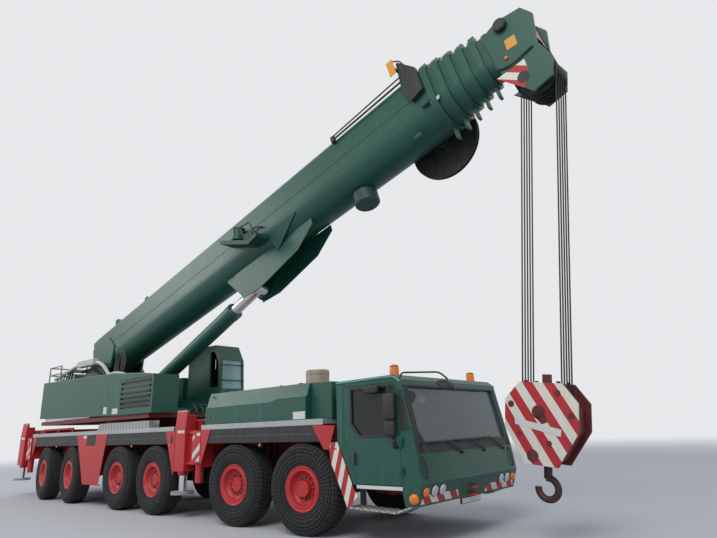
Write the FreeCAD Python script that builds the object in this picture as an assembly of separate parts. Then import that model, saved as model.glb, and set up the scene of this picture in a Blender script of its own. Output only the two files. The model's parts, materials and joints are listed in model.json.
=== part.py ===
import FreeCAD, Part

import math
import os

# Six-axle telescopic mobile crane, in millimetres.
# +X points forward, +Y to the driver's left and +Z up. Everything is drawn from a datum on
# the ground under the front axle, and moved at the end to the middle of the finished machine.

V = FreeCAD.Vector

# Overall widths and levels
HALF_WIDTH = 1500
DECK_TOP = 1870
DECK_THICK = 80
SKIRT_BOTTOM = 1505
FIT = 0.3
RUN_GAP = 8

# Axles: number, place along the machine, steering angle at rest, steered or not
AXLES = [
    (1, 0, 6.0, True),
    (2, -1900, 5.0, True),
    (3, -4890, 0.0, False),
    (4, -6610, 0.0, False),
    (5, -9380, -6.0, True),
    (6, -11180, -7.0, True),
]
SIDES = [("right", -1), ("left", 1)]

# Wheels
TYRE_R = 745
TYRE_SIDES = 28
HUB_Z = TYRE_R * math.cos(math.pi / TYRE_SIDES)
WHEEL_Y = 1285
RIM_SEAT_R = 317.5
RIM_FLANGE_R = 372
RIM_HALF = 205
STUB_R = 130
DRUM_R = 235
KINGPIN_Y = 985
KINGPIN_R = 50

# Suspension struts: two beside each end of an axle
STRUT_X = 190
STRUT_Y = 560
STRUT_R = 55
STRUT_TOP = 1500

# Chassis box girder
CHASSIS_HALF = 450
CHASSIS_BOTTOM = 960
CHASSIS_TOP = DECK_TOP - DECK_THICK
CHASSIS_REAR = -13150
CHASSIS_FRONT = 700

# Outriggers: name, x of the right-hand beam, x of the left-hand beam
OUTRIGGERS = [("front", -3790, -3240), ("rear", -13190, -12640)]
BEAM_WIDE = 300
BEAM_TALL = 520
BEAM_BOTTOM = 1350
BOX_HALF_LONG = 485
BOX_HALF_WIDE = 1180
BOX_TOP = 2000
BOX_BOTTOM = 1290
JACK_Y = 1370
JACK_TUBE_R = 115
JACK_ROD_R = 82
JACK_TOP = 2060
JACK_TUBE_BOTTOM = 960
FOOT_R = 240
FOOT_Z = 480
FOOT_THICK = 60

# Driver's cab
CAB_REAR = 920
CAB_WALL = 60
CAB_BOTTOM = 850
CAB_ROOF = 2470
DOOR_REAR = 1075
DOOR_FRONT = 2190
DOOR_BOTTOM = 870
DOOR_TOP = 2350
HINGE_X = DOOR_FRONT + 3
HINGE_OUT = 22
HINGE_LONG = 90
HINGE_PIN_R = 9
HINGE_TUBE_R = 18
HINGE_LEVELS = [1020, 1420]

# Engine cover behind the cab
COVER_REAR = -2950
COVER_FRONT = 620
COVER_TOP = 2520
COVER_WALL = 40

# Superstructure
SLEW_X = -7750
RING_R = 1180
TURRET_BOTTOM = CHASSIS_TOP - 200
TURRET_TOP = DECK_TOP + 40
BED_BOTTOM = 2120
BED_TOP = 2230
CHEEK_IN = 560
CHEEK_OUT = 680

# Boom: origin of its own frame on its middle line at the tail, and its angle at rest
BOOM_X = -10800
BOOM_Z = 4150
BOOM_ANGLE = 15.4
PIVOT_S = 450
PIVOT_T = -550
PIVOT_R = 150
BOOM_HALF_WIDE = 500
BOOM_TALL = 1400
SECTION_STEP = 45
TUBE_WALL = 25
TELESCOPES = 5
BASE_END = 13950
COLLAR_STEP = 250
COLLAR_LONG = 130
COLLAR_PROUD = 30

# Luffing cylinder, from its foot in the superstructure to its eye below the boom
FOOT_PIN_X = -8900
FOOT_PIN_Z = 2560
EYE_S = 7740
EYE_T = -1130
BARREL_R = 205
ROD_R = 140
BARREL_LONG = 5350
EYE_R = 150
EYE_HALF = 170

# Lug bores for a fly jib on the boom head
JIB_S = 15480
JIB_T = 270
JIB_BORE_R = 40

# Jaw for the tow bar under the nose
JAW_X = 2520
JAW_BORE_R = 20

# Hook block and its ropes, hung from the lower head sheaves
HEAD_SHEAVE_S = 15630
HEAD_SHEAVE_T = -1040
SHEAVE_R = 330
GROOVE_R = 290
ROPE_R = 12
ROPE_LEAN = 7.0
BLOCK_DROP = 5700


def box(x0, x1, y0, y1, z0, z1):
    return Part.makeBox(x1 - x0, y1 - y0, z1 - z0, V(x0, y0, z0))


def plate(points, low, high, plane="xz"):
    """A flat piece with the outline in the named plane, from low to high across it."""
    place = {
        "xz": lambda a, b: V(a, low, b),
        "yz": lambda a, b: V(low, a, b),
        "xy": lambda a, b: V(a, b, low),
    }[plane]
    across = {"xz": V(0, high - low, 0), "yz": V(high - low, 0, 0), "xy": V(0, 0, high - low)}[plane]
    corners = [place(a, b) for a, b in points]
    wire = Part.makePolygon(corners + corners[:1])
    return Part.Face(wire).extrude(across)


def rod(start, end, radius):
    start, end = V(*start), V(*end)
    return Part.makeCylinder(radius, (end - start).Length, start, end - start)


def turned(profile, centre, axis):
    """A solid of revolution from (radius, distance along the axis) points."""
    corners = [V(radius, 0, along) for radius, along in profile]
    face = Part.Face(Part.makePolygon(corners + corners[:1]))
    solid = face.revolve(V(0, 0, 0), V(0, 0, 1), 360)
    solid.Placement = FreeCAD.Placement(V(*centre), FreeCAD.Rotation(V(0, 0, 1), V(*axis)))
    return solid


def fuse(pieces):
    first, rest = pieces[0], pieces[1:]
    if not rest:
        return first
    return first.fuse(rest).removeSplitter()


def group(pieces):
    return Part.makeCompound(pieces)


def mirror_y(shape):
    return shape.mirror(V(0, 0, 0), V(0, 1, 0))


def both_sides(shape):
    return [shape, mirror_y(shape)]


# Wheels, knuckles and axles

# Tyre outline: distance from the middle plane, radius
TYRE_OUTLINE = [(180, RIM_SEAT_R + FIT), (180, 385), (215, 540), (165, TYRE_R)]


def ngon(radius, y):
    step = 2 * math.pi / TYRE_SIDES
    points = []
    for k in range(TYRE_SIDES):
        angle = (k + 0.5) * step
        points.append(V(radius * math.sin(angle), y, -radius * math.cos(angle)))
    return Part.makePolygon(points + points[:1])


def tyre():
    half = [(y, r) for y, r in TYRE_OUTLINE[1:]]
    rings = [ngon(r, -y) for y, r in half] + [ngon(r, y) for y, r in reversed(half)]
    body = Part.makeLoft(rings, True, True)
    half_wide = TYRE_OUTLINE[0][0]
    bore_r = TYRE_OUTLINE[0][1] / math.cos(math.pi / TYRE_SIDES)
    bore = Part.Face(ngon(bore_r, -half_wide - 1)).extrude(V(0, 2 * half_wide + 2, 0))
    return body.cut(bore)


def rim():
    """Disc wheel, its hollow side towards +Y and its disc near the outer face at -Y."""
    seat, flange, half = RIM_SEAT_R, RIM_FLANGE_R, RIM_HALF
    profile = [
        (STUB_R + FIT, -70), (210, -60), (285, -150), (seat - 14, -150), (seat - 14, half),
        (flange, half), (flange, half - 20), (seat, half - 22), (seat, 22 - half),
        (flange, 20 - half), (flange, -half), (seat - 30, -half), (270, -175), (200, -90),
        (STUB_R + FIT, -100),
    ]
    return turned(profile, (0, 0, 0), (0, 1, 0))


def hub_pieces(inner_y):
    """Brake drum and stub for a right-hand wheel, from inner_y out to the wheel's disc."""
    drum = rod((0, inner_y, 0), (0, -WHEEL_Y + 55, 0), DRUM_R)
    stub = rod((0, -WHEEL_Y + 56, 0), (0, -WHEEL_Y - 120, 0), STUB_R)
    return [drum, stub]


def knuckle():
    """Steering knuckle of a right-hand wheel: yoke round the axle's end, drum and stub."""
    upright = box(-120, 120, -KINGPIN_Y - 125, -KINGPIN_Y - 90, -210, 210)
    top = box(-90, 90, -KINGPIN_Y - 120, -KINGPIN_Y + 80, 140, 200)
    low = box(-90, 90, -KINGPIN_Y - 120, -KINGPIN_Y + 80, -200, -140)
    pin = rod((0, -KINGPIN_Y, -200), (0, -KINGPIN_Y, 200), KINGPIN_R)
    arm = box(-300, -60, -KINGPIN_Y - 10, -KINGPIN_Y + 40, -195, -150)
    return fuse([upright, top, low, pin, arm] + hub_pieces(-KINGPIN_Y - 100))


def axle_beam(steered):
    reach = KINGPIN_Y if steered else KINGPIN_Y + 100
    beam = box(-95, 95, -reach, reach, -85, 85)
    bowl = rod((0, -170, 0), (0, 170, 0), 200)
    pieces = [beam, bowl]
    struts = []
    for side in (-1, 1):
        if steered:
            boss = rod((0, side * KINGPIN_Y, -130), (0, side * KINGPIN_Y, 130), 80)
            bore = rod((0, side * KINGPIN_Y, -140), (0, side * KINGPIN_Y, 140), KINGPIN_R + FIT)
            pieces.append(boss)
            pieces[0] = pieces[0].cut(bore)
            pieces[-1] = boss.cut(bore)
        else:
            ends = hub_pieces(-reach)
            pieces += ends if side < 0 else [mirror_y(end) for end in ends]
    for side in (-1, 1):
        for x in (-STRUT_X, STRUT_X):
            struts.append(rod((x, side * STRUT_Y, -40), (x, side * STRUT_Y, STRUT_TOP - HUB_Z), STRUT_R))
        seat = box(-STRUT_X - 80, STRUT_X + 80, side * STRUT_Y - 60, side * STRUT_Y + 60, -85, -40)
        pieces.append(seat)
    return [fuse(pieces)] + struts


nodes = {}
axle_solids = []
for number, axle_x, rest_angle, steered in AXLES:
    for piece in axle_beam(steered):
        piece.translate(V(axle_x, 0, HUB_Z))
        axle_solids.append(piece)
    for side_name, side in SIDES:
        wheel = group([tyre(), rim()])
        wheel.translate(V(0, -WHEEL_Y, 0))
        upright = knuckle()
        if side > 0:
            wheel = mirror_y(wheel)
            upright = mirror_y(upright)
        for piece in (wheel, upright):
            piece.rotate(V(0, side * KINGPIN_Y, 0), V(0, 0, 1), rest_angle)
            piece.translate(V(axle_x, 0, HUB_Z))
        nodes["wheel_%d_%s" % (number, side_name)] = wheel
        if steered:
            nodes["knuckle_%d_%s" % (number, side_name)] = upright
nodes["axles"] = group(axle_solids)

# Chassis, with the tunnels for the outrigger beams and the seats of the suspension struts
girder = box(CHASSIS_REAR, CHASSIS_FRONT, -CHASSIS_HALF, CHASSIS_HALF, CHASSIS_BOTTOM, CHASSIS_TOP)
chassis_parts = [girder]
front_frame = plate(
    [(CHASSIS_FRONT, 700), (900, 610), (2170, 610), (2170, CAB_BOTTOM), (1150, CAB_BOTTOM),
     (CHASSIS_FRONT + 60, 1400), (CHASSIS_FRONT, 1400)],
    -CHASSIS_HALF, CHASSIS_HALF,
)
for number, axle_x, rest_angle, steered in AXLES:
    for side in (-1, 1):
        low_y, high_y = sorted((side * (CHASSIS_HALF - 5), side * 650))
        chassis_parts.append(
            box(axle_x - 280, axle_x + 280, low_y, high_y, STRUT_TOP, STRUT_TOP + 60)
        )
tunnels = []
beam_places = []
for box_name, right_x, left_x in OUTRIGGERS:
    middle = (right_x + left_x) / 2
    chassis_parts.append(
        box(middle - BOX_HALF_LONG, middle + BOX_HALF_LONG, -BOX_HALF_WIDE, BOX_HALF_WIDE,
            BOX_BOTTOM, BOX_TOP)
    )
    for beam_x, side_name, side in ((right_x, "right", -1), (left_x, "left", 1)):
        tunnels.append(
            box(beam_x - BEAM_WIDE / 2 - RUN_GAP, beam_x + BEAM_WIDE / 2 + RUN_GAP,
                -BOX_HALF_WIDE - 10, BOX_HALF_WIDE + 10,
                BEAM_BOTTOM - FIT, BEAM_BOTTOM + BEAM_TALL + RUN_GAP)
        )
        beam_places.append((box_name, side_name, side, beam_x))
turret = rod((SLEW_X, 0, TURRET_BOTTOM), (SLEW_X, 0, TURRET_TOP), RING_R)
chassis_parts.append(turret)
nodes["chassis"] = group([fuse(chassis_parts).cut(tunnels), front_frame])

# Outrigger beams and jacks
for box_name, side_name, side, beam_x in beam_places:
    half = BEAM_WIDE / 2
    body = box(beam_x - half, beam_x + half, -HALF_WIDTH + 70, BOX_HALF_WIDE - 20,
               BEAM_BOTTOM, BEAM_BOTTOM + BEAM_TALL)
    tube = rod((beam_x, -JACK_Y, JACK_TUBE_BOTTOM), (beam_x, -JACK_Y, JACK_TOP), JACK_TUBE_R)
    end = box(beam_x - 230, beam_x + 230, -HALF_WIDTH, -HALF_WIDTH + 20, 1180, 2040)
    neck = box(beam_x - 60, beam_x + 60, -HALF_WIDTH + 15, -JACK_Y, 1250, 1980)
    bore = rod((beam_x, -JACK_Y, JACK_TUBE_BOTTOM - 10), (beam_x, -JACK_Y, JACK_TOP - 40),
               JACK_ROD_R + FIT)
    beam = fuse([body, tube, end, neck]).cut(bore)
    leg = rod((beam_x, -JACK_Y, FOOT_Z + FOOT_THICK), (beam_x, -JACK_Y, JACK_TOP - 60), JACK_ROD_R)
    pad = rod((beam_x, -JACK_Y, FOOT_Z), (beam_x, -JACK_Y, FOOT_Z + FOOT_THICK), FOOT_R)
    jack = fuse([leg, pad])
    if side > 0:
        beam, jack = mirror_y(beam), mirror_y(jack)
    nodes["outrigger_%s_%s" % (box_name, side_name)] = beam
    nodes["jack_%s_%s" % (box_name, side_name)] = jack

# Deck plates with their skirts
FRONT_BOX = (OUTRIGGERS[0][1] + OUTRIGGERS[0][2]) / 2
REAR_BOX = (OUTRIGGERS[1][1] + OUTRIGGERS[1][2]) / 2
# Deck runs: rear end, front end
DECK_RUNS = [(REAR_BOX + 590, FRONT_BOX - 530), (FRONT_BOX + 530, 600)]
decks = []
for rear, front in DECK_RUNS:
    top = box(rear, front, -HALF_WIDTH, HALF_WIDTH, DECK_TOP - DECK_THICK, DECK_TOP)
    skirts = both_sides(
        box(rear, front, -HALF_WIDTH, -HALF_WIDTH + 30, SKIRT_BOTTOM, DECK_TOP - DECK_THICK + 5)
    )
    decks.append(fuse([top] + skirts))
turret_hole = rod((SLEW_X, 0, 1000), (SLEW_X, 0, 2500), RING_R + FIT)
decks[0] = decks[0].cut(turret_hole)
nodes["deck"] = group(decks)

# Engine cover and the engine under it
cover_outline = [(-1450, DECK_TOP), (-1450, 2250), (-1400, 2290), (-1330, COVER_TOP)]
cover_outline = cover_outline + [(-y, z) for y, z in reversed(cover_outline)]
cover_inner = [(-1410, DECK_TOP - 1), (-1410, 2240), (-1365, 2275), (-1300, COVER_TOP - 40)]
cover_inner = cover_inner + [(-y, z) for y, z in reversed(cover_inner)]
cover = plate(cover_outline, COVER_REAR, COVER_FRONT, "yz")
cover_hollow = plate(cover_inner, COVER_REAR + COVER_WALL, COVER_FRONT - COVER_WALL, "yz")
exhaust = rod((330, -1050, COVER_TOP + 150), (330, -450, COVER_TOP + 150), 140)
exhaust_foot = box(250, 410, -900, -600, COVER_TOP - 20, COVER_TOP + 80)
nodes["engine_cover"] = fuse([cover.cut(cover_hollow), exhaust, exhaust_foot])
nodes["engine"] = box(-2500, -900, -420, 420, DECK_TOP, 2400)

# Driver's cab: side outline, x and z
CAB_OUTLINE = [
    (CAB_REAR, CAB_ROOF - 20), (CAB_REAR, 1520), (1250, CAB_BOTTOM), (2180, CAB_BOTTOM),
    (2230, 590), (2440, 590), (2540, 900), (2480, 1320), (2240, 2390), (2130, CAB_ROOF),
]
CAB_HOLLOW = [
    (CAB_REAR + 60, CAB_ROOF - 85), (CAB_REAR + 60, 1540), (1290, CAB_BOTTOM + 60),
    (2430, CAB_BOTTOM + 60), (2475, 920), (2420, 1320), (2185, 2360), (2120, CAB_ROOF - 65),
]
cab = plate(CAB_OUTLINE, -HALF_WIDTH, HALF_WIDTH)
cab = cab.cut(plate(CAB_HOLLOW, CAB_WALL - HALF_WIDTH, HALF_WIDTH - CAB_WALL))
door_outline = [
    (DOOR_REAR, DOOR_TOP), (DOOR_REAR, 1560), (1330, DOOR_BOTTOM), (DOOR_FRONT, DOOR_BOTTOM),
    (DOOR_FRONT, 1500), (2150, DOOR_TOP),
]
door_gap = 6


def grown(outline, by):
    middle_x = sum(x for x, z in outline) / len(outline)
    middle_z = sum(z for x, z in outline) / len(outline)
    half_x = max(abs(x - middle_x) for x, z in outline)
    half_z = max(abs(z - middle_z) for x, z in outline)
    return [
        (middle_x + (x - middle_x) * (1 + by / half_x), middle_z + (z - middle_z) * (1 + by / half_z))
        for x, z in outline
    ]


door_cut = plate(grown(door_outline, door_gap), -HALF_WIDTH - 10, HALF_WIDTH + 10)
screen_cut = box(2150, 2600, -1330, 1330, 1390, 2290)
rear_cut = box(CAB_REAR - 50, CAB_REAR + 100, -1100, 1100, 1700, 2250)
cab = cab.cut([door_cut, screen_cut, rear_cut])
cab_inside = []
for seat_y in (-750, 750):
    cab_inside.append(box(1150, 1620, seat_y - 250, seat_y + 250, CAB_BOTTOM + 50, 1350))
    cab_inside.append(box(1120, 1240, seat_y - 240, seat_y + 240, 1340, 2050))
dash = plate([(2050, 1250), (2150, 1330), (2440, 1300), (2440, 1100), (2200, 1050)],
             CAB_WALL - HALF_WIDTH + RUN_GAP, HALF_WIDTH - CAB_WALL - RUN_GAP)
column = rod((2150, 750, 1200), (1850, 750, 1450), 30)
wheel_ring = Part.makeTorus(210, 18, V(1850, 750, 1450), V(-300, 0, 250))
spoke = rod((1850, 540, 1450), (1850, 960, 1450), 14)
cab_inside += [dash, column, wheel_ring, spoke]
beacons = [rod((1930, y, CAB_ROOF - 40), (1930, y, CAB_ROOF + 170), 70) for y in (-1200, 1200)]
jaw_bore = rod((JAW_X, 0, 500), (JAW_X, 0, 900), JAW_BORE_R)
jaws = [plate([(2430, -90), (2520, -90), (2580, 0), (2520, 90), (2430, 90)], z, z + 30, "xy").cut(jaw_bore)
        for z in (610, 720)]


def door_hinges():
    """The cab's eyes with their pins, and the door's tubes, for the right-hand door."""
    line_y = -HALF_WIDTH - HINGE_OUT
    eyes, tubes = [], []
    for low in HINGE_LEVELS:
        high = low + HINGE_LONG
        for z in (low - 12 - FIT, high + FIT):
            eyes.append(box(HINGE_X - 11, HINGE_X + 55, line_y - 12, line_y + 14, z, z + 12))
        eyes.append(box(HINGE_X + 30, HINGE_X + 55, line_y - 12, -HALF_WIDTH + 3, low - 12, high + 12))
        eyes.append(rod((HINGE_X, line_y, low - 12), (HINGE_X, line_y, high + 12), HINGE_PIN_R))
        tube = rod((HINGE_X, line_y, low), (HINGE_X, line_y, high), HINGE_TUBE_R)
        leaf = box(HINGE_X - 80, HINGE_X - 4, -HALF_WIDTH - 10, -HALF_WIDTH + 3, low, high)
        arm = box(HINGE_X - 40, HINGE_X - 4, line_y - 6, -HALF_WIDTH - 5, low, high)
        bore = rod((HINGE_X, line_y, low - 1), (HINGE_X, line_y, high + 1), HINGE_PIN_R + FIT)
        tubes.append(fuse([tube, leaf, arm]).cut(bore))
    return eyes, tubes


hinge_eyes, hinge_tubes = door_hinges()
left_eyes = [mirror_y(eye) for eye in hinge_eyes]
nodes["cab"] = fuse([cab] + cab_inside + beacons + jaws + hinge_eyes + left_eyes)
screen = plate([(2408, 1390 + FIT), (2431, 1390 + FIT), (2225, 2290 - FIT), (2202, 2290 - FIT)],
               -1330 + FIT, 1330 - FIT)
rear_pane = box(CAB_REAR + 20, CAB_REAR + 40, -1100 + FIT, 1100 - FIT, 1700 + FIT, 2250 - FIT)
nodes["cab_glass"] = group([screen, rear_pane])
window = [(1240, 2300), (1240, 1760), (1400, 1580), (2080, 1580), (2130, 1650), (2100, 2300)]
door = plate(door_outline, -HALF_WIDTH, -HALF_WIDTH + CAB_WALL)
door = door.cut(plate(window, -HALF_WIDTH - 10, -HALF_WIDTH + CAB_WALL + 10))
pane = plate(grown(window, 12), -HALF_WIDTH + 24, -HALF_WIDTH + 32)
door = fuse([door, pane] + hinge_tubes)
nodes["cab_door_right"] = door
nodes["cab_door_left"] = mirror_y(door)


# Superstructure bed on its slewing ring
WINCH_SEAT = 3300
cheek_outline = [
    (-12150, BED_TOP - 5), (-12150, 2900), (-13060, 3000), (-13060, WINCH_SEAT),
    (-12400, WINCH_SEAT), (-11300, 3450),
    (-10450, 3960), (-10000, 3960), (-9700, 3700), (-9000, 3000), (-7600, 2700), (-5600, 2450),
    (-5600, BED_TOP - 5),
]
cheeks = both_sides(plate(cheek_outline, -CHEEK_OUT, -CHEEK_IN))
bed_floor = box(-12050, -5400, -1400, 1400, BED_BOTTOM, BED_TOP)
ring = rod((SLEW_X, 0, TURRET_TOP + FIT), (SLEW_X, 0, BED_BOTTOM + 5), RING_R)
boom_turn = math.radians(BOOM_ANGLE)


def boom_point(s, t):
    """A point of the boom's own frame at rest, as x and z."""
    x = BOOM_X + s * math.cos(boom_turn) - t * math.sin(boom_turn)
    z = BOOM_Z + s * math.sin(boom_turn) + t * math.cos(boom_turn)
    return x, z


def on_boom(shape):
    shape.rotate(V(0, 0, 0), V(0, 1, 0), -BOOM_ANGLE)
    shape.translate(V(BOOM_X, 0, BOOM_Z))
    return shape


pivot_x, pivot_z = boom_point(PIVOT_S, PIVOT_T)
pivot_bore = rod((pivot_x, -800, pivot_z), (pivot_x, 800, pivot_z), PIVOT_R + FIT)
foot_bore = rod((FOOT_PIN_X, -800, FOOT_PIN_Z), (FOOT_PIN_X, 800, FOOT_PIN_Z), 90 + FIT)
stays = [
    box(-11600, -11200, -760, 760, 2500, 2600), box(-6400, -6200, -760, 760, BED_TOP - 5, 2400),
]
nodes["slew_bed"] = fuse(cheeks + [bed_floor, ring] + stays).cut([pivot_bore, foot_bore])

# Side housings of the superstructure
HOUSING_OUTLINE = [
    (-12100, 2330), (-6880, BED_TOP), (-5190, BED_TOP), (-5190, 3150), (-5550, 3190),
    (-7300, 3330), (-12110, 3440),
]
housing = plate(HOUSING_OUTLINE, -1450, -760)
slats = []
for k in range(6):
    z = 2400 + k * 125
    slats.append(plate([(-1460, z), (-1400, z + 60), (-1400, z + 75), (-1460, z + 75)], -6780, -5290, "yz"))
louvre = box(-6800, -5270, -1460, -1400, 2380, 3100)
housing = housing.cut(louvre.cut(slats))
LEFT_HOUSING = [(-12100, 2330), (-7500, BED_TOP + 15), (-7500, 3335), (-12110, 3440)]
nodes["housing_right"] = housing
nodes["housing_left"] = plate(LEFT_HOUSING, 760, 1450)

# Winch at the tail
winch_drum = turned(
    [(60, -430), (380, -430), (380, -400), (250, -400), (250, 400), (380, 400), (380, 430), (60, 430)],
    (-12750, 0, 3550), (0, 1, 0),
)
nodes["winch_drum"] = winch_drum
winch_stand = plate(
    [(-13050, WINCH_SEAT), (-12450, WINCH_SEAT), (-12450, 3420), (-12650, 3640), (-12850, 3640),
     (-13050, 3420)],
    -CHEEK_OUT, -480,
)
winch_stand = winch_stand.cut(rod((-12750, -900, 3550), (-12750, -400, 3550), 60 + FIT))
winch_pin = rod((-12750, -560, 3550), (-12750, 560, 3550), 60 - FIT)
winch_plugs = [rod((-12750, y0, 3550), (-12750, y0 + 90, 3550), 75) for y0 in (-570, 480)]
nodes["winch_frame"] = fuse(both_sides(winch_stand) + [winch_pin] + winch_plugs)

# Crane operator's cab on the left
ccab_outline = [(-7300, 2350), (-7300, 4050), (-7100, 4130), (-5950, 4130), (-5700, 3700), (-5650, 2700), (-5800, 2350)]
ccab_hollow = [(-7250, 2400), (-7250, 4015), (-7090, 4080), (-5975, 4080), (-5750, 3690), (-5702, 2710), (-5830, 2400)]
crane_cab = plate(ccab_outline, 800, 1600).cut(plate(ccab_hollow, 850, 1550))
crane_front = box(-5900, -5600, 870, 1530, 2900, 3690)
ccab_door = [(-7100, 2450), (-7100, 3900), (-6300, 3900), (-6300, 2450)]
ccab_window = [(-7000, 2950), (-7000, 3820), (-6400, 3820), (-6400, 2950)]
crane_cab = crane_cab.cut([crane_front, plate(ccab_door, 1540, 1610), plate(
    [(-6200, 2950), (-6200, 3950), (-6000, 3950), (-5800, 3650), (-5780, 2950)], 790, 1610)])
crane_seat = [box(-7000, -6500, 980, 1420, 2390, 2850), box(-7050, -6900, 980, 1420, 2840, 3500)]
crane_mount = box(-7000, -6000, 800, 1300, BED_TOP, 2360)
door_rail = box(-7290, -6250, 1590, 1650, 3900 + FIT, 3960)
nodes["crane_cab"] = fuse([crane_cab, crane_mount, door_rail] + crane_seat)
front_pane = plate([(-5700, 2900 + FIT), (-5680, 2900 + FIT), (-5720, 3690 - FIT), (-5740, 3690 - FIT)],
                   870 + FIT, 1530 - FIT)
nodes["crane_cab_glass"] = front_pane
slide_door = plate(ccab_door, 1608, 1640).cut(plate(ccab_window, 1600, 1650))
slide_pane = plate(ccab_window, 1618, 1626)
nodes["crane_cab_door"] = fuse([slide_door, slide_pane])


# Boom: an egg-shaped tube, flat on top with sloped corners and round below
def egg(half_wide, tall, s):
    top, low = tall / 2, -tall / 2
    shoulder = 0.28 * half_wide
    side_end = low + 0.9 * half_wide
    corners = [
        V(s, half_wide, side_end), V(s, half_wide, top - 1.2 * shoulder),
        V(s, half_wide - shoulder, top), V(s, shoulder - half_wide, top),
        V(s, -half_wide, top - 1.2 * shoulder), V(s, -half_wide, side_end),
    ]
    edges = [Part.makeLine(a, b) for a, b in zip(corners, corners[1:])]
    edges.append(Part.Arc(corners[-1], V(s, 0, low), corners[0]).toShape())
    return Part.Face(Part.Wire(edges))


def egg_solid(half_wide, tall, start, end):
    return egg(half_wide, tall, start).extrude(V(end - start, 0, 0))


def egg_tube(half_wide, tall, start, end, wall):
    solid = egg_solid(half_wide, tall, start, end)
    return solid.cut(egg_solid(half_wide - wall, tall - 2 * wall, start - 1, end + 1))


def section_size(number):
    return BOOM_HALF_WIDE - SECTION_STEP * number, BOOM_TALL - 2 * SECTION_STEP * number


def collar(number, end):
    half_wide, tall = section_size(number)
    ring_piece = egg_tube(half_wide + COLLAR_PROUD, tall + 2 * COLLAR_PROUD, end - COLLAR_LONG, end,
                          COLLAR_PROUD + TUBE_WALL)
    top = tall / 2 + COLLAR_PROUD
    fins = [box(end - COLLAR_LONG, end, y - 25, y + 25, top - 5, top + 90) for y in (-180, 180)]
    latch = box(end - 90, end - 40, -60, 60, -top - 260, -top + 5)
    return [ring_piece] + fins + [latch]


base_parts = [egg_tube(BOOM_HALF_WIDE, BOOM_TALL, 0, BASE_END, TUBE_WALL)] + collar(0, BASE_END)
tail_plate = egg_solid(BOOM_HALF_WIDE - 5, BOOM_TALL - 10, 0, 40)
doublers = both_sides(plate([(0, -680), (0, 300), (1100, 300), (1400, -100), (1100, -680)], -530, -470))
pivot_tube = rod((PIVOT_S, -CHEEK_OUT, PIVOT_T), (PIVOT_S, CHEEK_OUT, PIVOT_T), PIVOT_R)
ear_outline = [
    (EYE_S - 900, -500), (EYE_S - 300, EYE_T - 150), (EYE_S + 150, EYE_T - 200),
    (EYE_S + 300, EYE_T + 50), (EYE_S + 1400, -560), (EYE_S + 1400, -400), (EYE_S - 900, -400),
]
ears = both_sides(plate(ear_outline, -300, -240))
core = egg_solid(BOOM_HALF_WIDE - TUBE_WALL, BOOM_TALL - 2 * TUBE_WALL, 60, BASE_END + 5)
base_parts += [tail_plate] + doublers + [pivot_tube] + ears
nodes["boom_base"] = on_boom(fuse(base_parts).cut(core))

for number in range(1, TELESCOPES + 1):
    half_wide, tall = section_size(number)
    start = 150 + 150 * number
    end = BASE_END + COLLAR_STEP * number
    tube = egg_tube(half_wide, tall, start, end, TUBE_WALL)
    gap = SECTION_STEP - TUBE_WALL
    pad = egg_tube(half_wide + gap - FIT, tall + 2 * gap - 2 * FIT, start, start + 200, TUBE_WALL + gap - FIT)
    parts = [tube, pad]
    if number < TELESCOPES:
        parts += collar(number, end)
    else:
        head_plate = plate(
            [(15080, 320), (15450, 430), (15900, 330), (16030, 60), (15880, -500), (15990, -950),
             (15850, -1280), (15480, -1330), (15150, -760)],
            -330, -270,
        )
        jib_bore = rod((JIB_S, -400, JIB_T), (JIB_S, 400, JIB_T), JIB_BORE_R)
        parts += [piece.cut(jib_bore) for piece in both_sides(head_plate)]
        parts += [box(15080, 15180, -275, 275, -430, 430)]
        parts += [rod((HEAD_SHEAVE_S, -290, HEAD_SHEAVE_T), (HEAD_SHEAVE_S, 290, HEAD_SHEAVE_T), 60)]
        parts += [rod((15700, -290, 120), (15700, 290, 120), 50)]
    nodes["telescope_%d" % number] = on_boom(fuse(parts))

sheave_profile = [
    (60 + FIT, -25), (SHEAVE_R, -25), (GROOVE_R, -14), (GROOVE_R, 14), (SHEAVE_R, 25), (60 + FIT, 25),
]
sheaves = []
for k in range(5):
    sheaves.append(on_boom(turned(sheave_profile, (HEAD_SHEAVE_S, -200 + 100 * k, HEAD_SHEAVE_T), (0, 1, 0))))
top_profile = [(50 + FIT, -25), (220, -25), (190, -6), (190, 6), (220, 25), (50 + FIT, 25)]
for y in (-120, 120):
    sheaves.append(on_boom(turned(top_profile, (15700, y, 120), (0, 1, 0))))
nodes["head_sheaves"] = group(sheaves)

# Luffing cylinder
eye_x, eye_z = boom_point(EYE_S, EYE_T)
lift_x, lift_z = eye_x - FOOT_PIN_X, eye_z - FOOT_PIN_Z
lift_long = math.hypot(lift_x, lift_z)
lift_angle = math.degrees(math.atan2(lift_z, lift_x))


def on_cylinder(shape):
    shape.rotate(V(0, 0, 0), V(0, 1, 0), -lift_angle)
    shape.translate(V(FOOT_PIN_X, 0, FOOT_PIN_Z))
    return shape


barrel = rod((150, 0, 0), (BARREL_LONG, 0, 0), BARREL_R)
barrel_head = rod((BARREL_LONG - 180, 0, 0), (BARREL_LONG, 0, 0), BARREL_R + 12)
barrel_foot = rod((0, -CHEEK_IN + 10, 0), (0, CHEEK_IN - 10, 0), 200)
barrel_pin = rod((0, -CHEEK_OUT, 0), (0, CHEEK_OUT, 0), 90)
barrel_bore = rod((1400, 0, 0), (BARREL_LONG + 10, 0, 0), ROD_R + FIT)
nodes["luffing_barrel"] = on_cylinder(fuse([barrel, barrel_head, barrel_foot, barrel_pin]).cut(barrel_bore))
ram = rod((2600, 0, 0), (lift_long - 60, 0, 0), ROD_R)
ram_eye = rod((lift_long, -EYE_HALF, 0), (lift_long, EYE_HALF, 0), EYE_R)
nodes["luffing_rod"] = on_cylinder(fuse([ram, ram_eye]))

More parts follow.
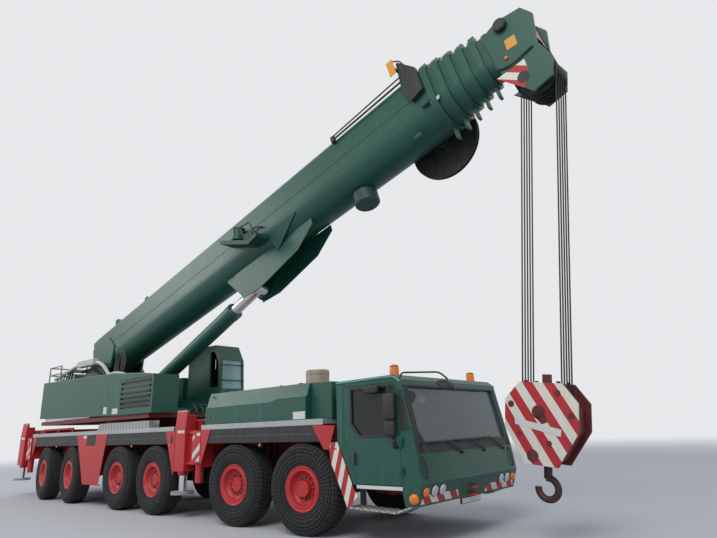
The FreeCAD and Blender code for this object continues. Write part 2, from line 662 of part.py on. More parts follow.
# Hook block on its ropes
hang_x, hang_z = boom_point(HEAD_SHEAVE_S, HEAD_SHEAVE_T)


def on_ropes(shape):
    shape.rotate(V(0, 0, 0), V(0, 1, 0), ROPE_LEAN)
    shape.translate(V(hang_x, 0, hang_z))
    return shape


BLOCK_TOP = 450 - BLOCK_DROP
rope_x = GROOVE_R + ROPE_R + FIT
ropes = []
for y in (-200, -100, 0, 100, 200):
    for x in (-rope_x, rope_x):
        ropes.append(on_ropes(rod((x, y, 0), (x, y, BLOCK_TOP + FIT), ROPE_R)))
nodes["hoist_ropes"] = group(ropes)
block_plate = [(-560, 350), (-330, 620), (330, 620), (560, 350), (560, -50), (250, -560), (-250, -560), (-560, -50)]
block_sides = [plate([(x, z - BLOCK_DROP) for x, z in block_plate], y, y + 40) for y in (-260, 220)]
core_outline = [(-480, -40), (-480, 250), (-340, 450), (340, 450), (480, 250), (480, -40), (210, -500), (-210, -500)]
block_core = plate([(x, z - BLOCK_DROP) for x, z in core_outline], -225, 225)
anchor = box(-60, 60, -40, 40, BLOCK_TOP - 10, BLOCK_TOP + 300)
nodes["hook_block"] = on_ropes(fuse(block_sides + [block_core, anchor]))
shank = rod((0, 0, -500 - FIT - BLOCK_DROP), (0, 0, -760 - BLOCK_DROP), 60)
bowl = Part.makeTorus(150, 50, V(0, 0, -900 - BLOCK_DROP), V(0, 1, 0))
mouth = box(-400, -20, -100, 100, -890 - BLOCK_DROP, -700 - BLOCK_DROP)
nodes["hook"] = on_ropes(fuse([shank, bowl.cut(mouth)]))

# Move to the middle of the machine and write the files
bounds = group(list(nodes.values())).BoundBox
SHIFT = V(-(bounds.XMin + bounds.XMax) / 2, -(bounds.YMin + bounds.YMax) / 2, -bounds.ZMin)
os.makedirs("parts", exist_ok=True)
for name, shape in nodes.items():
    shape.translate(SHIFT)
    shape.exportStep("parts/%s.step" % name)
print("shift", tuple(round(value, 3) for value in SHIFT), "files", len(nodes))
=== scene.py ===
import json
import math

import bpy
from mathutils import Matrix, Quaternion, Vector


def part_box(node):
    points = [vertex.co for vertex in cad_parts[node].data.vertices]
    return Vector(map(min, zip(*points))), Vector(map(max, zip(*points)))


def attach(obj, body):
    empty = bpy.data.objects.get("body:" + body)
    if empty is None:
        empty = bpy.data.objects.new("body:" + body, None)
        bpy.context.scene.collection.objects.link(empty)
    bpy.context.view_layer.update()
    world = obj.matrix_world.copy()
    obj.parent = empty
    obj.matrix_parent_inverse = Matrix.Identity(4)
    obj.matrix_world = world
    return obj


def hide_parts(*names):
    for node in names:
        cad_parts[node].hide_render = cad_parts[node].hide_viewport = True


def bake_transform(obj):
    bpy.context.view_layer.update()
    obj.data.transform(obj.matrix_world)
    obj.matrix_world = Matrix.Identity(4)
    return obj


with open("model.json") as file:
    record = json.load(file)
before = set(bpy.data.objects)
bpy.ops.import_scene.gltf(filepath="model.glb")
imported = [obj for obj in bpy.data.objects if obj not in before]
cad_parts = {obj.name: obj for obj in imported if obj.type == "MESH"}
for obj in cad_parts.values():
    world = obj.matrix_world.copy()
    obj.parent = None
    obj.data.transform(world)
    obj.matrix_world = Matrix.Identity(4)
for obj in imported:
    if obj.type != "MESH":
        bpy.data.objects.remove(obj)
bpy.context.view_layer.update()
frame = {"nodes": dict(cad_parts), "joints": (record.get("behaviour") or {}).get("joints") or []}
nodes = frame["nodes"]
joints = {joint["name"]: joint for joint in frame["joints"]}
WHEEL_Y, KINGPIN_Y = 1.285, 0.985
front_axle = joints["steer_1_right"]["pos_m"][0]
middle_y = joints["steer_1_right"]["pos_m"][1] + KINGPIN_Y


def at(x, y, z):
    """A point counted from the ground under the middle of the front axle."""
    return Vector((front_axle + x, middle_y + y, z))


# Camera
# It stands at the photographer's eye height, off the right front corner of the carrier,
# and looks up along the boom.
camera_data = bpy.data.cameras.new("camera")
camera_data.sensor_width = 36.0
camera_data.lens = 27.22
camera = bpy.data.objects.new("camera", camera_data)
bpy.context.scene.collection.objects.link(camera)
bpy.context.scene.camera = camera
camera_yaw, camera_pitch, camera_roll = (math.radians(a) for a in (130.6, 16.45, -2.03))
looks_along = Vector((
    math.cos(camera_pitch) * math.cos(camera_yaw),
    math.cos(camera_pitch) * math.sin(camera_yaw),
    math.sin(camera_pitch),
))
camera.location = at(7.29, -8.25, 1.68)
camera.rotation_mode = "QUATERNION"
camera.rotation_quaternion = looks_along.to_track_quat("-Z", "Y") @ Quaternion((0, 0, 1), camera_roll)


# Ground and backdrop
# A pale studio floor. It keeps the machine's shadow near the wheels, and fades into the
# plain backdrop long before the horizon.
BACKDROP = (0.80, 0.81, 0.83, 1.0)


def new_material(name):
    """An empty node tree with its output, ready for a finish."""
    material = bpy.data.materials.new(name)
    material.use_nodes = True
    tree = material.node_tree
    tree.nodes.clear()
    output = tree.nodes.new("ShaderNodeOutputMaterial")
    return material, tree, output


bpy.ops.object.select_all(action="DESELECT")
bpy.ops.mesh.primitive_circle_add(vertices=96, radius=160, fill_type="NGON", location=(0, 0, 0))
floor = bpy.context.object
floor.name = "floor"
floor_finish, tree, output = new_material("floor_finish")
place = tree.nodes.new("ShaderNodeTexCoord")
distance = tree.nodes.new("ShaderNodeVectorMath")
distance.operation = "LENGTH"
fade = tree.nodes.new("ShaderNodeMapRange")
fade.inputs["From Min"].default_value = 18
fade.inputs["From Max"].default_value = 55
fade.interpolation_type = "SMOOTHSTEP"
lit = tree.nodes.new("ShaderNodeBsdfDiffuse")
lit.inputs["Color"].default_value = (0.50, 0.51, 0.52, 1)
plain = tree.nodes.new("ShaderNodeEmission")
plain.inputs["Color"].default_value = BACKDROP
mix = tree.nodes.new("ShaderNodeMixShader")
tree.links.new(place.outputs["Object"], distance.inputs[0])
tree.links.new(distance.outputs["Value"], fade.inputs["Value"])
tree.links.new(fade.outputs["Result"], mix.inputs["Fac"])
tree.links.new(lit.outputs["BSDF"], mix.inputs[1])
tree.links.new(plain.outputs["Emission"], mix.inputs[2])
tree.links.new(mix.outputs["Shader"], output.inputs["Surface"])
floor.data.materials.append(floor_finish)


# Light
# An overcast studio: an even pale sky, with one large soft lamp high on the camera's side.
world = bpy.data.worlds.new("sky")
bpy.context.scene.world = world
world.use_nodes = True
tree = world.node_tree
tree.nodes.clear()
output = tree.nodes.new("ShaderNodeOutputWorld")
sky_light = tree.nodes.new("ShaderNodeBackground")
sky_light.inputs["Color"].default_value = (0.86, 0.90, 1.0, 1)
sky_light.inputs["Strength"].default_value = 0.70
seen = tree.nodes.new("ShaderNodeBackground")
seen.inputs["Color"].default_value = BACKDROP
seen.inputs["Strength"].default_value = 1.0
path = tree.nodes.new("ShaderNodeLightPath")
either = tree.nodes.new("ShaderNodeMath")
either.operation = "MAXIMUM"
through = tree.nodes.new("ShaderNodeMath")
through.operation = "MAXIMUM"
mix = tree.nodes.new("ShaderNodeMixShader")
tree.links.new(path.outputs["Is Camera Ray"], either.inputs[0])
tree.links.new(path.outputs["Is Glossy Ray"], either.inputs[1])
tree.links.new(either.outputs["Value"], through.inputs[0])
tree.links.new(path.outputs["Is Transmission Ray"], through.inputs[1])
tree.links.new(through.outputs["Value"], mix.inputs["Fac"])
tree.links.new(sky_light.outputs["Background"], mix.inputs[1])
tree.links.new(seen.outputs["Background"], mix.inputs[2])
tree.links.new(mix.outputs["Shader"], output.inputs["Surface"])


def soft_lamp(name, place, aim, size, watts):
    lamp = bpy.data.lights.new(name, "AREA")
    lamp.shape = "DISK"
    lamp.size = size
    lamp.energy = watts
    holder = bpy.data.objects.new(name, lamp)
    bpy.context.scene.collection.objects.link(holder)
    holder.location = place
    holder.rotation_mode = "QUATERNION"
    holder.rotation_quaternion = (Vector(aim) - Vector(place)).to_track_quat("-Z", "Y")


soft_lamp("high_lamp", (12, -22, 26), (0, 0, 3), 18, 4600)
soft_lamp("side_lamp", (-26, -16, 16), (-3, 0, 3), 14, 2200)


# Chassis, side panels and engine
# The welded box girder, the outrigger boxes and the tapered side panels are sprayed signal
# red, with road dirt on all of them. The low girder under the skirts gets a much darker red:
# painted shade where the skirts shadow it, with the dirt over it.
def add(tree, kind, **settings):
    node = tree.nodes.new(kind)
    for key, value in settings.items():
        if key in node.inputs:
            node.inputs[key].default_value = value
        else:
            setattr(node, key, value)
    return node


def coated(name, base, dust, dust_level, roughness, grain, metallic, grain_scale=160.0):
    """The common build of every coat: base(tree, coordinates) gives the colour, and dust in
    patches and runs, a cloudy gloss and a fine grain are laid over it."""
    material, tree, output = new_material(name)
    link = tree.links.new
    place = add(tree, "ShaderNodeTexCoord")
    colour = base(tree, place.outputs["Object"])
    grime = add(tree, "ShaderNodeTexNoise", Scale=4.0, Detail=9.0, Roughness=0.72)
    streaks = add(tree, "ShaderNodeMapping")
    streaks.inputs["Scale"].default_value = (5.0, 5.0, 0.5)
    peel = add(tree, "ShaderNodeTexNoise", Scale=grain_scale, Detail=2.0)
    dusty = add(tree, "ShaderNodeMix", data_type="RGBA")
    dusty.inputs["B"].default_value = (*dust, 1)
    patches = add(tree, "ShaderNodeMapRange")
    patches.inputs["From Min"].default_value = 0.5
    patches.inputs["From Max"].default_value = 0.82
    patches.inputs["To Max"].default_value = dust_level
    dull = add(tree, "ShaderNodeMapRange")
    dull.inputs["To Min"].default_value = roughness - 0.08
    dull.inputs["To Max"].default_value = roughness + 0.22
    bump = add(tree, "ShaderNodeBump", Strength=0.35, Distance=grain)
    shader = add(tree, "ShaderNodeBsdfPrincipled")
    shader.inputs["Metallic"].default_value = metallic
    link(place.outputs["Object"], streaks.inputs["Vector"])
    link(streaks.outputs["Vector"], grime.inputs["Vector"])
    link(place.outputs["Object"], peel.inputs["Vector"])
    link(colour, dusty.inputs["A"])
    link(grime.outputs["Fac"], patches.inputs["Value"])
    link(patches.outputs["Result"], dusty.inputs["Factor"])
    link(dusty.outputs["Result"], shader.inputs["Base Color"])
    link(grime.outputs["Fac"], dull.inputs["Value"])
    link(dull.outputs["Result"], shader.inputs["Roughness"])
    link(peel.outputs["Fac"], bump.inputs["Height"])
    link(bump.outputs["Normal"], shader.inputs["Normal"])
    link(shader.outputs["BSDF"], output.inputs["Surface"])
    return material


def paint(name, colour, shade=0.75, dust=(0.30, 0.29, 0.27), dust_level=0.25, roughness=0.38, grain=0.0015,
          metallic=0.0, grain_scale=160.0):
    """Sprayed paint, rubber or bare metal: one colour that drifts a little from place to place."""
    def clouded(tree, coordinates):
        clouds = add(tree, "ShaderNodeTexNoise", Scale=1.1, Detail=6.0, Roughness=0.6)
        tone = add(tree, "ShaderNodeMix", data_type="RGBA")
        tone.inputs["A"].default_value = (*[c * shade for c in colour], 1)
        tone.inputs["B"].default_value = (*[min(1, c * 1.12) for c in colour], 1)
        tree.links.new(coordinates, clouds.inputs["Vector"])
        tree.links.new(clouds.outputs["Fac"], tone.inputs["Factor"])
        return tone.outputs["Result"]
    return coated(name, clouded, dust, dust_level, roughness, grain, metallic, grain_scale)


def dress(name, finishes, choose=None):
    """Gives a CAD node its finishes. choose picks one for a face from its middle and normal."""
    mesh = nodes[name].data
    mesh.materials.clear()
    for finish in finishes:
        mesh.materials.append(finish)
    for face in mesh.polygons:
        middle = face.center
        face.material_index = choose(middle.x - front_axle, middle.y - middle_y, middle.z,
                                     face.normal) if choose else 0


red = paint("red_paint", (0.47, 0.018, 0.020), dust_level=0.12)
# A much darker, dusty red: painted shade for the red faces in the skirts' shadow, with dirt laid over it.
shade_and_dirt_red = paint("red_paint_with_painted_shade_and_dirt", (0.16, 0.014, 0.014), dust=(0.10, 0.09, 0.08), dust_level=0.5,
                 roughness=0.55)
black = paint("black_paint", (0.016, 0.016, 0.018), dust_level=0.20, roughness=0.5)
iron = paint("engine_iron", (0.06, 0.06, 0.06), dust=(0.12, 0.10, 0.08), dust_level=0.5, roughness=0.6)


def chassis_finish(x, y, z, normal):
    if z > 1.80 and (x + 7.75) ** 2 + y * y < 1.3 ** 2:
        return 2
    # The low girder and the faces below the skirts take the darker red: painted shade.
    low_girder = abs(y) < 0.7 and z < 1.46
    return 1 if low_girder or (abs(y) < 1.2 and z < 1.30) else 0


dress("chassis", [red, shade_and_dirt_red, black], chassis_finish)
dress("engine", [iron])


# Axles and steering knuckles
# Cast axle beams with their suspension struts and the brake drums, in dusty black. The hub
# ends that stand out through the wheels are red like the wheels.
def axle_finish(x, y, z, normal):
    return 1 if abs(y) > 1.235 else 0


dress("axles", [black, red], axle_finish)
for name in nodes:
    if name.startswith("knuckle"):
        dress(name, [black, red], axle_finish)


# Wheels
# Single disc wheels, sprayed red, with heavy block-tread tyres. A wheel is turned, its tread
# blocks stand 18 mm over the carcass, and twelve nuts hold its disc to the hub.
def new_piece(name):
    piece = bpy.context.object
    piece.name = name
    return piece


def turned_piece(name, rings, steps, closed=False, twist=0.0, twisted=()):
    """A turned shell along +Z from (radius, distance) rings, each extruded from the last one.
    It is closed back to its first ring, or else both its ends are filled."""
    bpy.ops.object.select_all(action="DESELECT")
    bpy.ops.mesh.primitive_circle_add(vertices=steps, radius=rings[0][0], location=(0, 0, 0))
    piece = new_piece(name)
    bpy.ops.object.mode_set(mode="EDIT")
    bpy.ops.mesh.select_all(action="SELECT")
    bpy.ops.transform.translate(value=(0, 0, rings[0][1]))
    if not closed:
        bpy.ops.mesh.edge_face_add()
    for number, ((r0, z0), (r1, z1)) in enumerate(zip(rings, rings[1:]), 1):
        if closed:
            bpy.ops.mesh.extrude_edges_move(TRANSFORM_OT_translate={"value": (0, 0, z1 - z0)})
        else:
            bpy.ops.mesh.extrude_region_move(TRANSFORM_OT_translate={"value": (0, 0, z1 - z0)})
        bpy.ops.transform.resize(value=(r1 / r0, r1 / r0, 1), center_override=(0, 0, z1))
        if number in twisted:
            bpy.ops.transform.rotate(value=twist, orient_axis="Z", center_override=(0, 0, z1))
    if closed:
        bpy.ops.mesh.select_mode(type="EDGE")
        bpy.ops.mesh.select_all(action="DESELECT")
        bpy.ops.mesh.select_non_manifold(extend=False)
        bpy.ops.mesh.bridge_edge_loops()
    bpy.ops.mesh.select_all(action="SELECT")
    bpy.ops.mesh.normals_make_consistent(inside=False)
    bpy.ops.object.mode_set(mode="OBJECT")
    return piece


def settle(piece, matrix):
    """Sets a piece in its place and keeps the place in its mesh."""
    bpy.ops.object.select_all(action="DESELECT")
    piece.select_set(True)
    bpy.context.view_layer.objects.active = piece
    piece.matrix_world = matrix @ piece.matrix_world
    bpy.ops.object.transform_apply(location=True, rotation=True, scale=True)
    return piece


def finish_piece(piece, finish, body, smooth=35):
    """Smooths a piece's gentle edges, and gives it its finish and the body it rides on."""
    bpy.ops.object.select_all(action="DESELECT")
    piece.select_set(True)
    bpy.context.view_layer.objects.active = piece
    bpy.ops.object.shade_smooth_by_angle(angle=math.radians(smooth))
    if not piece.data.materials:
        piece.data.materials.append(finish)
    if body:
        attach(piece, body)
    return piece


def copy_of(piece, name):
    twin = piece.copy()
    twin.data = piece.data.copy()
    twin.name = name
    bpy.context.scene.collection.objects.link(twin)
    return twin


def join(name, pieces):
    """Several pieces on one body made into one."""
    bpy.ops.object.select_all(action="DESELECT")
    for piece in pieces:
        piece.select_set(True)
    bpy.context.view_layer.objects.active = pieces[0]
    bpy.ops.object.join()
    return new_piece(name)


rubber = paint("tyre_rubber", (0.020, 0.020, 0.022), dust=(0.11, 0.105, 0.10), dust_level=0.45,
               roughness=0.70,
               grain=0.003, grain_scale=90.0)
nut_steel = paint("nut_steel", (0.10, 0.05, 0.045), dust_level=0.4, roughness=0.55, metallic=0.4)
TREAD_STEPS, TREAD_BASE = 60, 0.7215
half_tyre = [(0.322, 0.174), (0.383, 0.180), (0.420, 0.193), (0.470, 0.2065), (0.530, 0.2140),
             (0.590, 0.2120),
             (0.600, 0.2145), (0.640, 0.2100), (0.648, 0.2045), (0.690, 0.188)]
tread = [(TREAD_BASE - 0.004, 0.170), (TREAD_BASE, 0.085), (TREAD_BASE, 0.0), (TREAD_BASE, -0.085),
         (TREAD_BASE - 0.004, -0.170)]
tyre_rings = half_tyre + tread + [(r, -z) for r, z in reversed(half_tyre)]
half_pitch = math.pi / TREAD_STEPS
tyre = turned_piece("tyre", tyre_rings, TREAD_STEPS, True, half_pitch, (11, 13))
for face in tyre.data.polygons:
    middle = face.center
    radius = math.hypot(middle.x, middle.y)
    face.select = radius > 0.698 and abs(middle.z) < 0.19
bpy.ops.object.mode_set(mode="EDIT")
bpy.ops.mesh.select_mode(type="FACE")
bpy.ops.mesh.inset(thickness=0.007, depth=0.0182, use_individual=True)
bpy.ops.object.mode_set(mode="OBJECT")
tyre.data.materials.append(rubber)

rim_rings = [
    (0.132, 0.070), (0.210, 0.060), (0.285, 0.150), (0.3035, 0.150), (0.3035, -0.200), (0.330, -0.205),
    (0.370, -0.205), (0.372, -0.187), (0.3175, -0.182), (0.3175, 0.182), (0.370, 0.185), (0.374, 0.195),
    (0.371, 0.204), (0.352, 0.2045), (0.339, 0.196), (0.323, 0.195), (0.315, 0.203), (0.296, 0.203),
    (0.287, 0.194), (0.273, 0.150), (0.262, 0.125), (0.224, 0.097), (0.206, 0.089), (0.150, 0.092),
    (0.136, 0.098),
]
rim = turned_piece("rim", rim_rings, 64, True)
rim.data.materials.append(red)

bpy.ops.object.select_all(action="DESELECT")
bpy.ops.mesh.primitive_cylinder_add(vertices=6, radius=0.019, depth=0.030, location=(0.172, 0, 0.104))
nut = new_piece("nut")
nut.data.materials.append(nut_steel)
bpy.ops.object.mode_set(mode="EDIT")
bpy.ops.mesh.select_all(action="SELECT")
bpy.ops.mesh.bevel(offset=0.003, segments=1, affect="EDGES")
bpy.ops.object.mode_set(mode="OBJECT")
settle(nut, Matrix())
nuts = [nut]
for k in range(1, 12):
    nuts.append(settle(copy_of(nut, "nut_%d" % k), Matrix.Rotation(math.radians(30 * k), 4, "Z")))


def hub_cap(proud):
    """The cap over the hub's end, with a ring of small screws."""
    cap = turned_piece("cap", [
        (0.1335, 0.098), (0.1335, proud - 0.006), (0.128, proud + 0.003), (0.098, proud + 0.004),
        (0.094, proud + 0.001),
        (0.045, proud + 0.001), (0.040, proud + 0.005), (0.004, proud + 0.006),
    ], 48)
    cap.data.materials.append(red)
    screws = []
    for k in range(8):
        angle = math.radians(45 * k)
        bpy.ops.object.select_all(action="DESELECT")
        bpy.ops.mesh.primitive_cylinder_add(
            vertices=6, radius=0.008, depth=0.012,
            location=(0.113 * math.cos(angle), 0.113 * math.sin(angle), proud + 0.005))
        screw = new_piece("screw")
        bpy.ops.object.mode_set(mode="EDIT")
        bpy.ops.mesh.select_all(action="SELECT")
        bpy.ops.mesh.bevel(offset=0.0015, segments=1, affect="EDGES")
        bpy.ops.object.mode_set(mode="OBJECT")
        screw.data.materials.append(red)
        screws.append(settle(screw, Matrix()))
    return join("cap", [cap] + screws)


plain_wheel = join("plain_wheel", [tyre, rim] + nuts)
caps = {"front": hub_cap(0.187), "other": hub_cap(0.122)}
upright_wheel = Matrix.Rotation(math.radians(90), 4, "X")
for name in sorted(n for n in nodes if n.startswith("wheel_")):
    axle, side_name = name.split("_")[1:]
    side = -1 if side_name == "right" else 1
    spin = joints["spin_%s_%s" % (axle, side_name)]
    along = Vector(spin["axis"])
    heading = math.atan2(-along.x, along.y)
    middle = Vector(spin["pos_m"])
    turn = Matrix.Rotation(heading + (0 if side < 0 else math.pi), 4, "Z")
    cap = copy_of(caps["front" if axle == "1" else "other"], "hub")
    wheel = join("dressed_" + name, [copy_of(plain_wheel, "wheel"), cap])
    settle(wheel, Matrix.Translation(middle) @ turn @ upright_wheel)
    finish_piece(wheel, rubber, name, 30)
    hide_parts(name)
for spare in [plain_wheel] + list(caps.values()):
    bpy.data.objects.remove(spare)


# Deck, skirts and side panels
# The deck plates end in a worn, light grey edge channel. Black skirts in two layers hang
# below it, and tapered red side panels are bolted over them, with ribs to the girder.
def block(name, low, high, bevel=0.006, steps=1):
    """A box between two corners, its edges rounded by a bevel."""
    low, high = Vector(low), Vector(high)
    bpy.ops.object.select_all(action="DESELECT")
    bpy.ops.mesh.primitive_cube_add(size=1, location=(low + high) / 2)
    piece = new_piece(name)
    piece.scale = high - low
    bpy.ops.object.transform_apply(location=True, rotation=True, scale=True)
    bpy.ops.object.mode_set(mode="EDIT")
    bpy.ops.mesh.select_all(action="SELECT")
    bpy.ops.mesh.bevel(offset=min(bevel, 0.45 * min(high - low)), segments=steps, affect="EDGES")
    bpy.ops.object.mode_set(mode="OBJECT")
    return piece


def as_mesh(piece):
    """Turns a curve into a mesh with closed seams and outward faces."""
    bpy.context.scene.collection.objects.link(piece)
    bpy.ops.object.select_all(action="DESELECT")
    piece.select_set(True)
    bpy.context.view_layer.objects.active = piece
    bpy.ops.object.convert(target="MESH")
    bpy.ops.object.mode_set(mode="EDIT")
    bpy.ops.mesh.select_all(action="SELECT")
    bpy.ops.mesh.remove_doubles(threshold=0.00005)
    bpy.ops.mesh.normals_make_consistent(inside=False)
    bpy.ops.object.mode_set(mode="OBJECT")
    return bpy.context.object


PLANES = {
    "xz": Matrix(((1, 0, 0, 0), (0, 0, -1, 0), (0, 1, 0, 0), (0, 0, 0, 1))),
    "yz": Matrix(((0, 0, 1, 0), (1, 0, 0, 0), (0, 1, 0, 0), (0, 0, 0, 1))),
    "xy": Matrix(),
}


def slab(name, outlines, low, high, plane="xz", bevel=0.003):
    """A flat plate cut along an outline, with any more outlines as its holes, from low to high."""
    if not isinstance(outlines[0][0], (tuple, list)):
        outlines = [outlines]
    bevel = min(bevel, 0.4 * (high - low))
    curve = bpy.data.curves.new(name, "CURVE")
    curve.dimensions = "2D"
    curve.fill_mode = "BOTH"
    curve.extrude = (high - low) / 2 - bevel
    curve.bevel_depth = bevel
    curve.bevel_resolution = 0
    curve.offset = -bevel
    for outline in outlines:
        run = curve.splines.new("POLY")
        run.points.add(len(outline) - 1)
        for point, (a, b) in zip(run.points, outline):
            point.co = (a, b, 0, 1)
        run.use_cyclic_u = True
    piece = as_mesh(bpy.data.objects.new(name, curve))
    across = (low + high) / 2
    away = {"xz": (0, across, 0), "yz": (across, 0, 0), "xy": (0, 0, across)}[plane]
    return settle(piece, Matrix.Translation(Vector(away)) @ PLANES[plane])


def pipe(name, points, radius, bend=0.0, closed=False, sides=4):
    """A round bar or pipe through points. With a bend, each inner corner is a smooth arc."""
    curve = bpy.data.curves.new(name, "CURVE")
    curve.dimensions = "3D"
    curve.bevel_depth = radius
    curve.bevel_resolution = sides
    curve.use_fill_caps = True
    curve.resolution_u = 6
    run = curve.splines.new("BEZIER")
    knots = []
    for k, point in enumerate(points):
        here = Vector(point)
        if bend and 0 < k < len(points) - 1:
            back = (Vector(points[k - 1]) - here)
            on = (Vector(points[k + 1]) - here)
            reach = min(bend, back.length / 2.2, on.length / 2.2)
            knots.append((here + back.normalized() * reach, None, here + back.normalized() * reach * 0.45))
            knots.append((here + on.normalized() * reach, here + on.normalized() * reach * 0.45, None))
        else:
            knots.append((here, None, None))
    run.bezier_points.add(len(knots) - 1)
    for knot, (place, left, right) in zip(run.bezier_points, knots):
        knot.co = place
        knot.handle_left_type = knot.handle_right_type = "FREE"
        knot.handle_left = place if left is None else left
        knot.handle_right = place if right is None else right
    run.use_cyclic_u = closed
    return as_mesh(bpy.data.objects.new(name, curve))


def bar(name, start, end, radius, steps=20):
    """A round bar between two points, with broken edges at its ends."""
    start, end = Vector(start), Vector(end)
    long = (end - start).length
    edge = min(0.15 * radius, 0.2 * long)
    piece = turned_piece(name,
                         [(radius - edge, 0), (radius, edge), (radius, long - edge), (radius - edge, long)],
                         steps)
    turn = (end - start).to_track_quat("Z", "Y").to_matrix().to_4x4()
    return settle(piece, Matrix.Translation(start) @ turn)


def drawn(points):
    """Outline points in millimetres, as they are drawn, made metres."""
    return [(a / 1000, b / 1000) for a, b in points]


datum = Matrix.Translation(at(0, 0, 0))


def fit(name, pieces, finish, body, smooth=35, place=datum):
    """Joins pieces that were made from the datum, sets them in place and finishes them."""
    piece = join(name, pieces)
    settle(piece, place)
    return finish_piece(piece, finish, body, smooth)


def mirrored(name, pieces):
    """Copies of pieces on the machine's other side."""
    twins = []
    for piece in pieces:
        twin = copy_of(piece, name)
        settle(twin, Matrix.Scale(-1, 4, (0, 1, 0)))
        bpy.ops.object.mode_set(mode="EDIT")
        bpy.ops.mesh.select_all(action="SELECT")
        bpy.ops.mesh.normals_make_consistent(inside=False)
        bpy.ops.object.mode_set(mode="OBJECT")
        twins.append(twin)
    return twins


def both(pieces):
    return pieces + mirrored("twin", pieces)


grey = paint("deck_paint", (0.44, 0.45, 0.44), shade=0.6, dust=(0.16, 0.15, 0.13), dust_level=0.75,
             roughness=0.5)
white = paint("white_enamel", (0.62, 0.62, 0.60), dust_level=0.3, roughness=0.4)
amber = paint("amber_lens", (0.80, 0.20, 0.02), dust_level=0.1, roughness=0.2)


def chequered(tree, coordinates):
    """Light grey tread plate: rows of short raised bars, with dirt left between them."""
    turn = add(tree, "ShaderNodeMapping")
    turn.inputs["Rotation"].default_value = (0.6, 0.5, 0.785)
    turn.inputs["Scale"].default_value = (26, 26, 26)
    cells = add(tree, "ShaderNodeTexChecker", Scale=1.0)
    cells.inputs["Color1"].default_value = (0.50, 0.50, 0.48, 1)
    cells.inputs["Color2"].default_value = (0.14, 0.14, 0.13, 1)
    tree.links.new(coordinates, turn.inputs["Vector"])
    tree.links.new(turn.outputs["Vector"], cells.inputs["Vector"])
    return cells.outputs["Color"]


tread_plate = coated("tread_plate", chequered, (0.12, 0.11, 0.10), 0.5, 0.5, 0.004, 0.3, 30.0)


def deck_finish(x, y, z, normal):
    return 0 if z > 1.785 else 1


dress("deck", [grey, black], deck_finish)
panels = [
    slab("panel", drawn([(-9020, 1770), (-7210, 1770), (-7500, 530), (-8420, 530)]), -1.512, -1.502),
    slab("panel", drawn([(-2965, 1770), (-2640, 1770), (-2965, 1035)]), -1.512, -1.502),
    slab("panel", drawn([(-4370, 1770), (-3985, 1770), (-3985, 870), (-3930, 870), (-3930, 870),
                         (-4000, 870)]), -1.512, -1.502),
    slab("panel", drawn([(-12205, 1770), (-11940, 1770), (-12205, 1130)]), -1.512, -1.502),
    slab("panel", drawn([(340, 1770), (880, 1750), (730, 1380), (610, 1380)]), -1.512, -1.502),
    slab("rib", [(-1.503, 0.53), (-1.503, 1.52), (-0.46, 1.52), (-0.46, 1.30)], -8.01, -7.98, "yz"),
    block("lip", (-8.42, -1.512, 0.525), (-7.50, -1.43, 0.54)),
    block("lip", (-12.21, -1.512, 1.13), (-12.19, -1.20, 1.77)),
    block("lip", (-2.97, -1.512, 1.035), (-2.955, -1.19, 1.77)),
    block("lip", (0.60, -1.505, 1.37), (0.90, -1.10, 1.40)),
]
side_panels = fit("side_panels", both(panels), red, "carrier")
edges = [block("edge", (rear, -1.506, 1.775), (front, -1.49, 1.873), 0.004) for rear,
         front in ((-12.325, -4.045), (-2.985, 0.60))]
fit("deck_edges", both(edges), grey, "carrier")
hatches = [
    slab("hatch", drawn([(-8380, 1770), (-7860, 1770), (-7860, 1500), (-8380, 1500)]), -1.5145, -1.511),
    slab("slot", [(-4.10 + 0.055 * math.cos(a * math.pi / 8),
                   1.60 + 0.095 * math.sin(a * math.pi / 8)) for a in range(16)],
         -1.5145, -1.511),
]
fit("side_openings", both(hatches), black, "carrier")
# The skirt grooves are thin strips of a lighter black than the skirts.
groove = [
    block("groove", (rear, -1.5015, 1.622), (front, -1.495, 1.640), 0.001)
    for rear, front in ((-12.00, -9.02), (-7.21, -4.37), (-2.64, 0.34))
]
lighter_black = paint("lighter_black_line", (0.06, 0.06, 0.062), dust_level=0.5, roughness=0.6)
fit("skirt_grooves", both(groove), lighter_black, "carrier")
PANEL_FACE, SKIRT_FACE = -1.512, -1.50
lamps = []
for x, z, face in ((-8.55, 1.50, PANEL_FACE), (-5.91, 1.470, SKIRT_FACE), (-4.16, 1.47, PANEL_FACE),
                   (-10.38, 1.485, SKIRT_FACE), (-1.06, 1.455, SKIRT_FACE)):
    lamp = turned_piece("lamp", [(0.024, 0), (0.026, 0.004), (0.024, 0.014), (0.014, 0.020), (0.004, 0.021)],
                        20)
    settle(lamp, Matrix.Translation((x, face, z)) @ Matrix.Rotation(math.radians(90), 4, "X"))
    lamp.data.materials.append(amber)
    lamps.append(lamp)
    if face == SKIRT_FACE:
        holder = block("lamp_holder", (x - 0.03, SKIRT_FACE, z - 0.028),
                       (x + 0.03, SKIRT_FACE + 0.03, z + 0.05))
        holder.data.materials.append(black)
        lamps.append(holder)
fit("marker_lamps", both(lamps), amber, "carrier")
stickers = [
    block("sticker", (-8.60, -1.5135, 1.69), (-8.40, -1.5115, 1.755), 0.0005),
]
fit("panel_stickers", both(stickers), white, "carrier")

steps = [slab("step", drawn([(-7900, 1870), (-7790, 2045), (-5200, 2045), (-5200, 1870)]), -1.48, -1.215)]
fit("deck_steps", both(steps), tread_plate, "carrier")
rails = [block("rail", (-12.10, -1.29, 1.96), (-9.90, -1.25, 2.01))]
rails += [block("post", (x, -1.29, 1.86), (x + 0.06, -1.25, 1.97)) for x in (-12.08, -11.03, -9.98)]
fit("rear_rails", both(rails), red, "carrier")


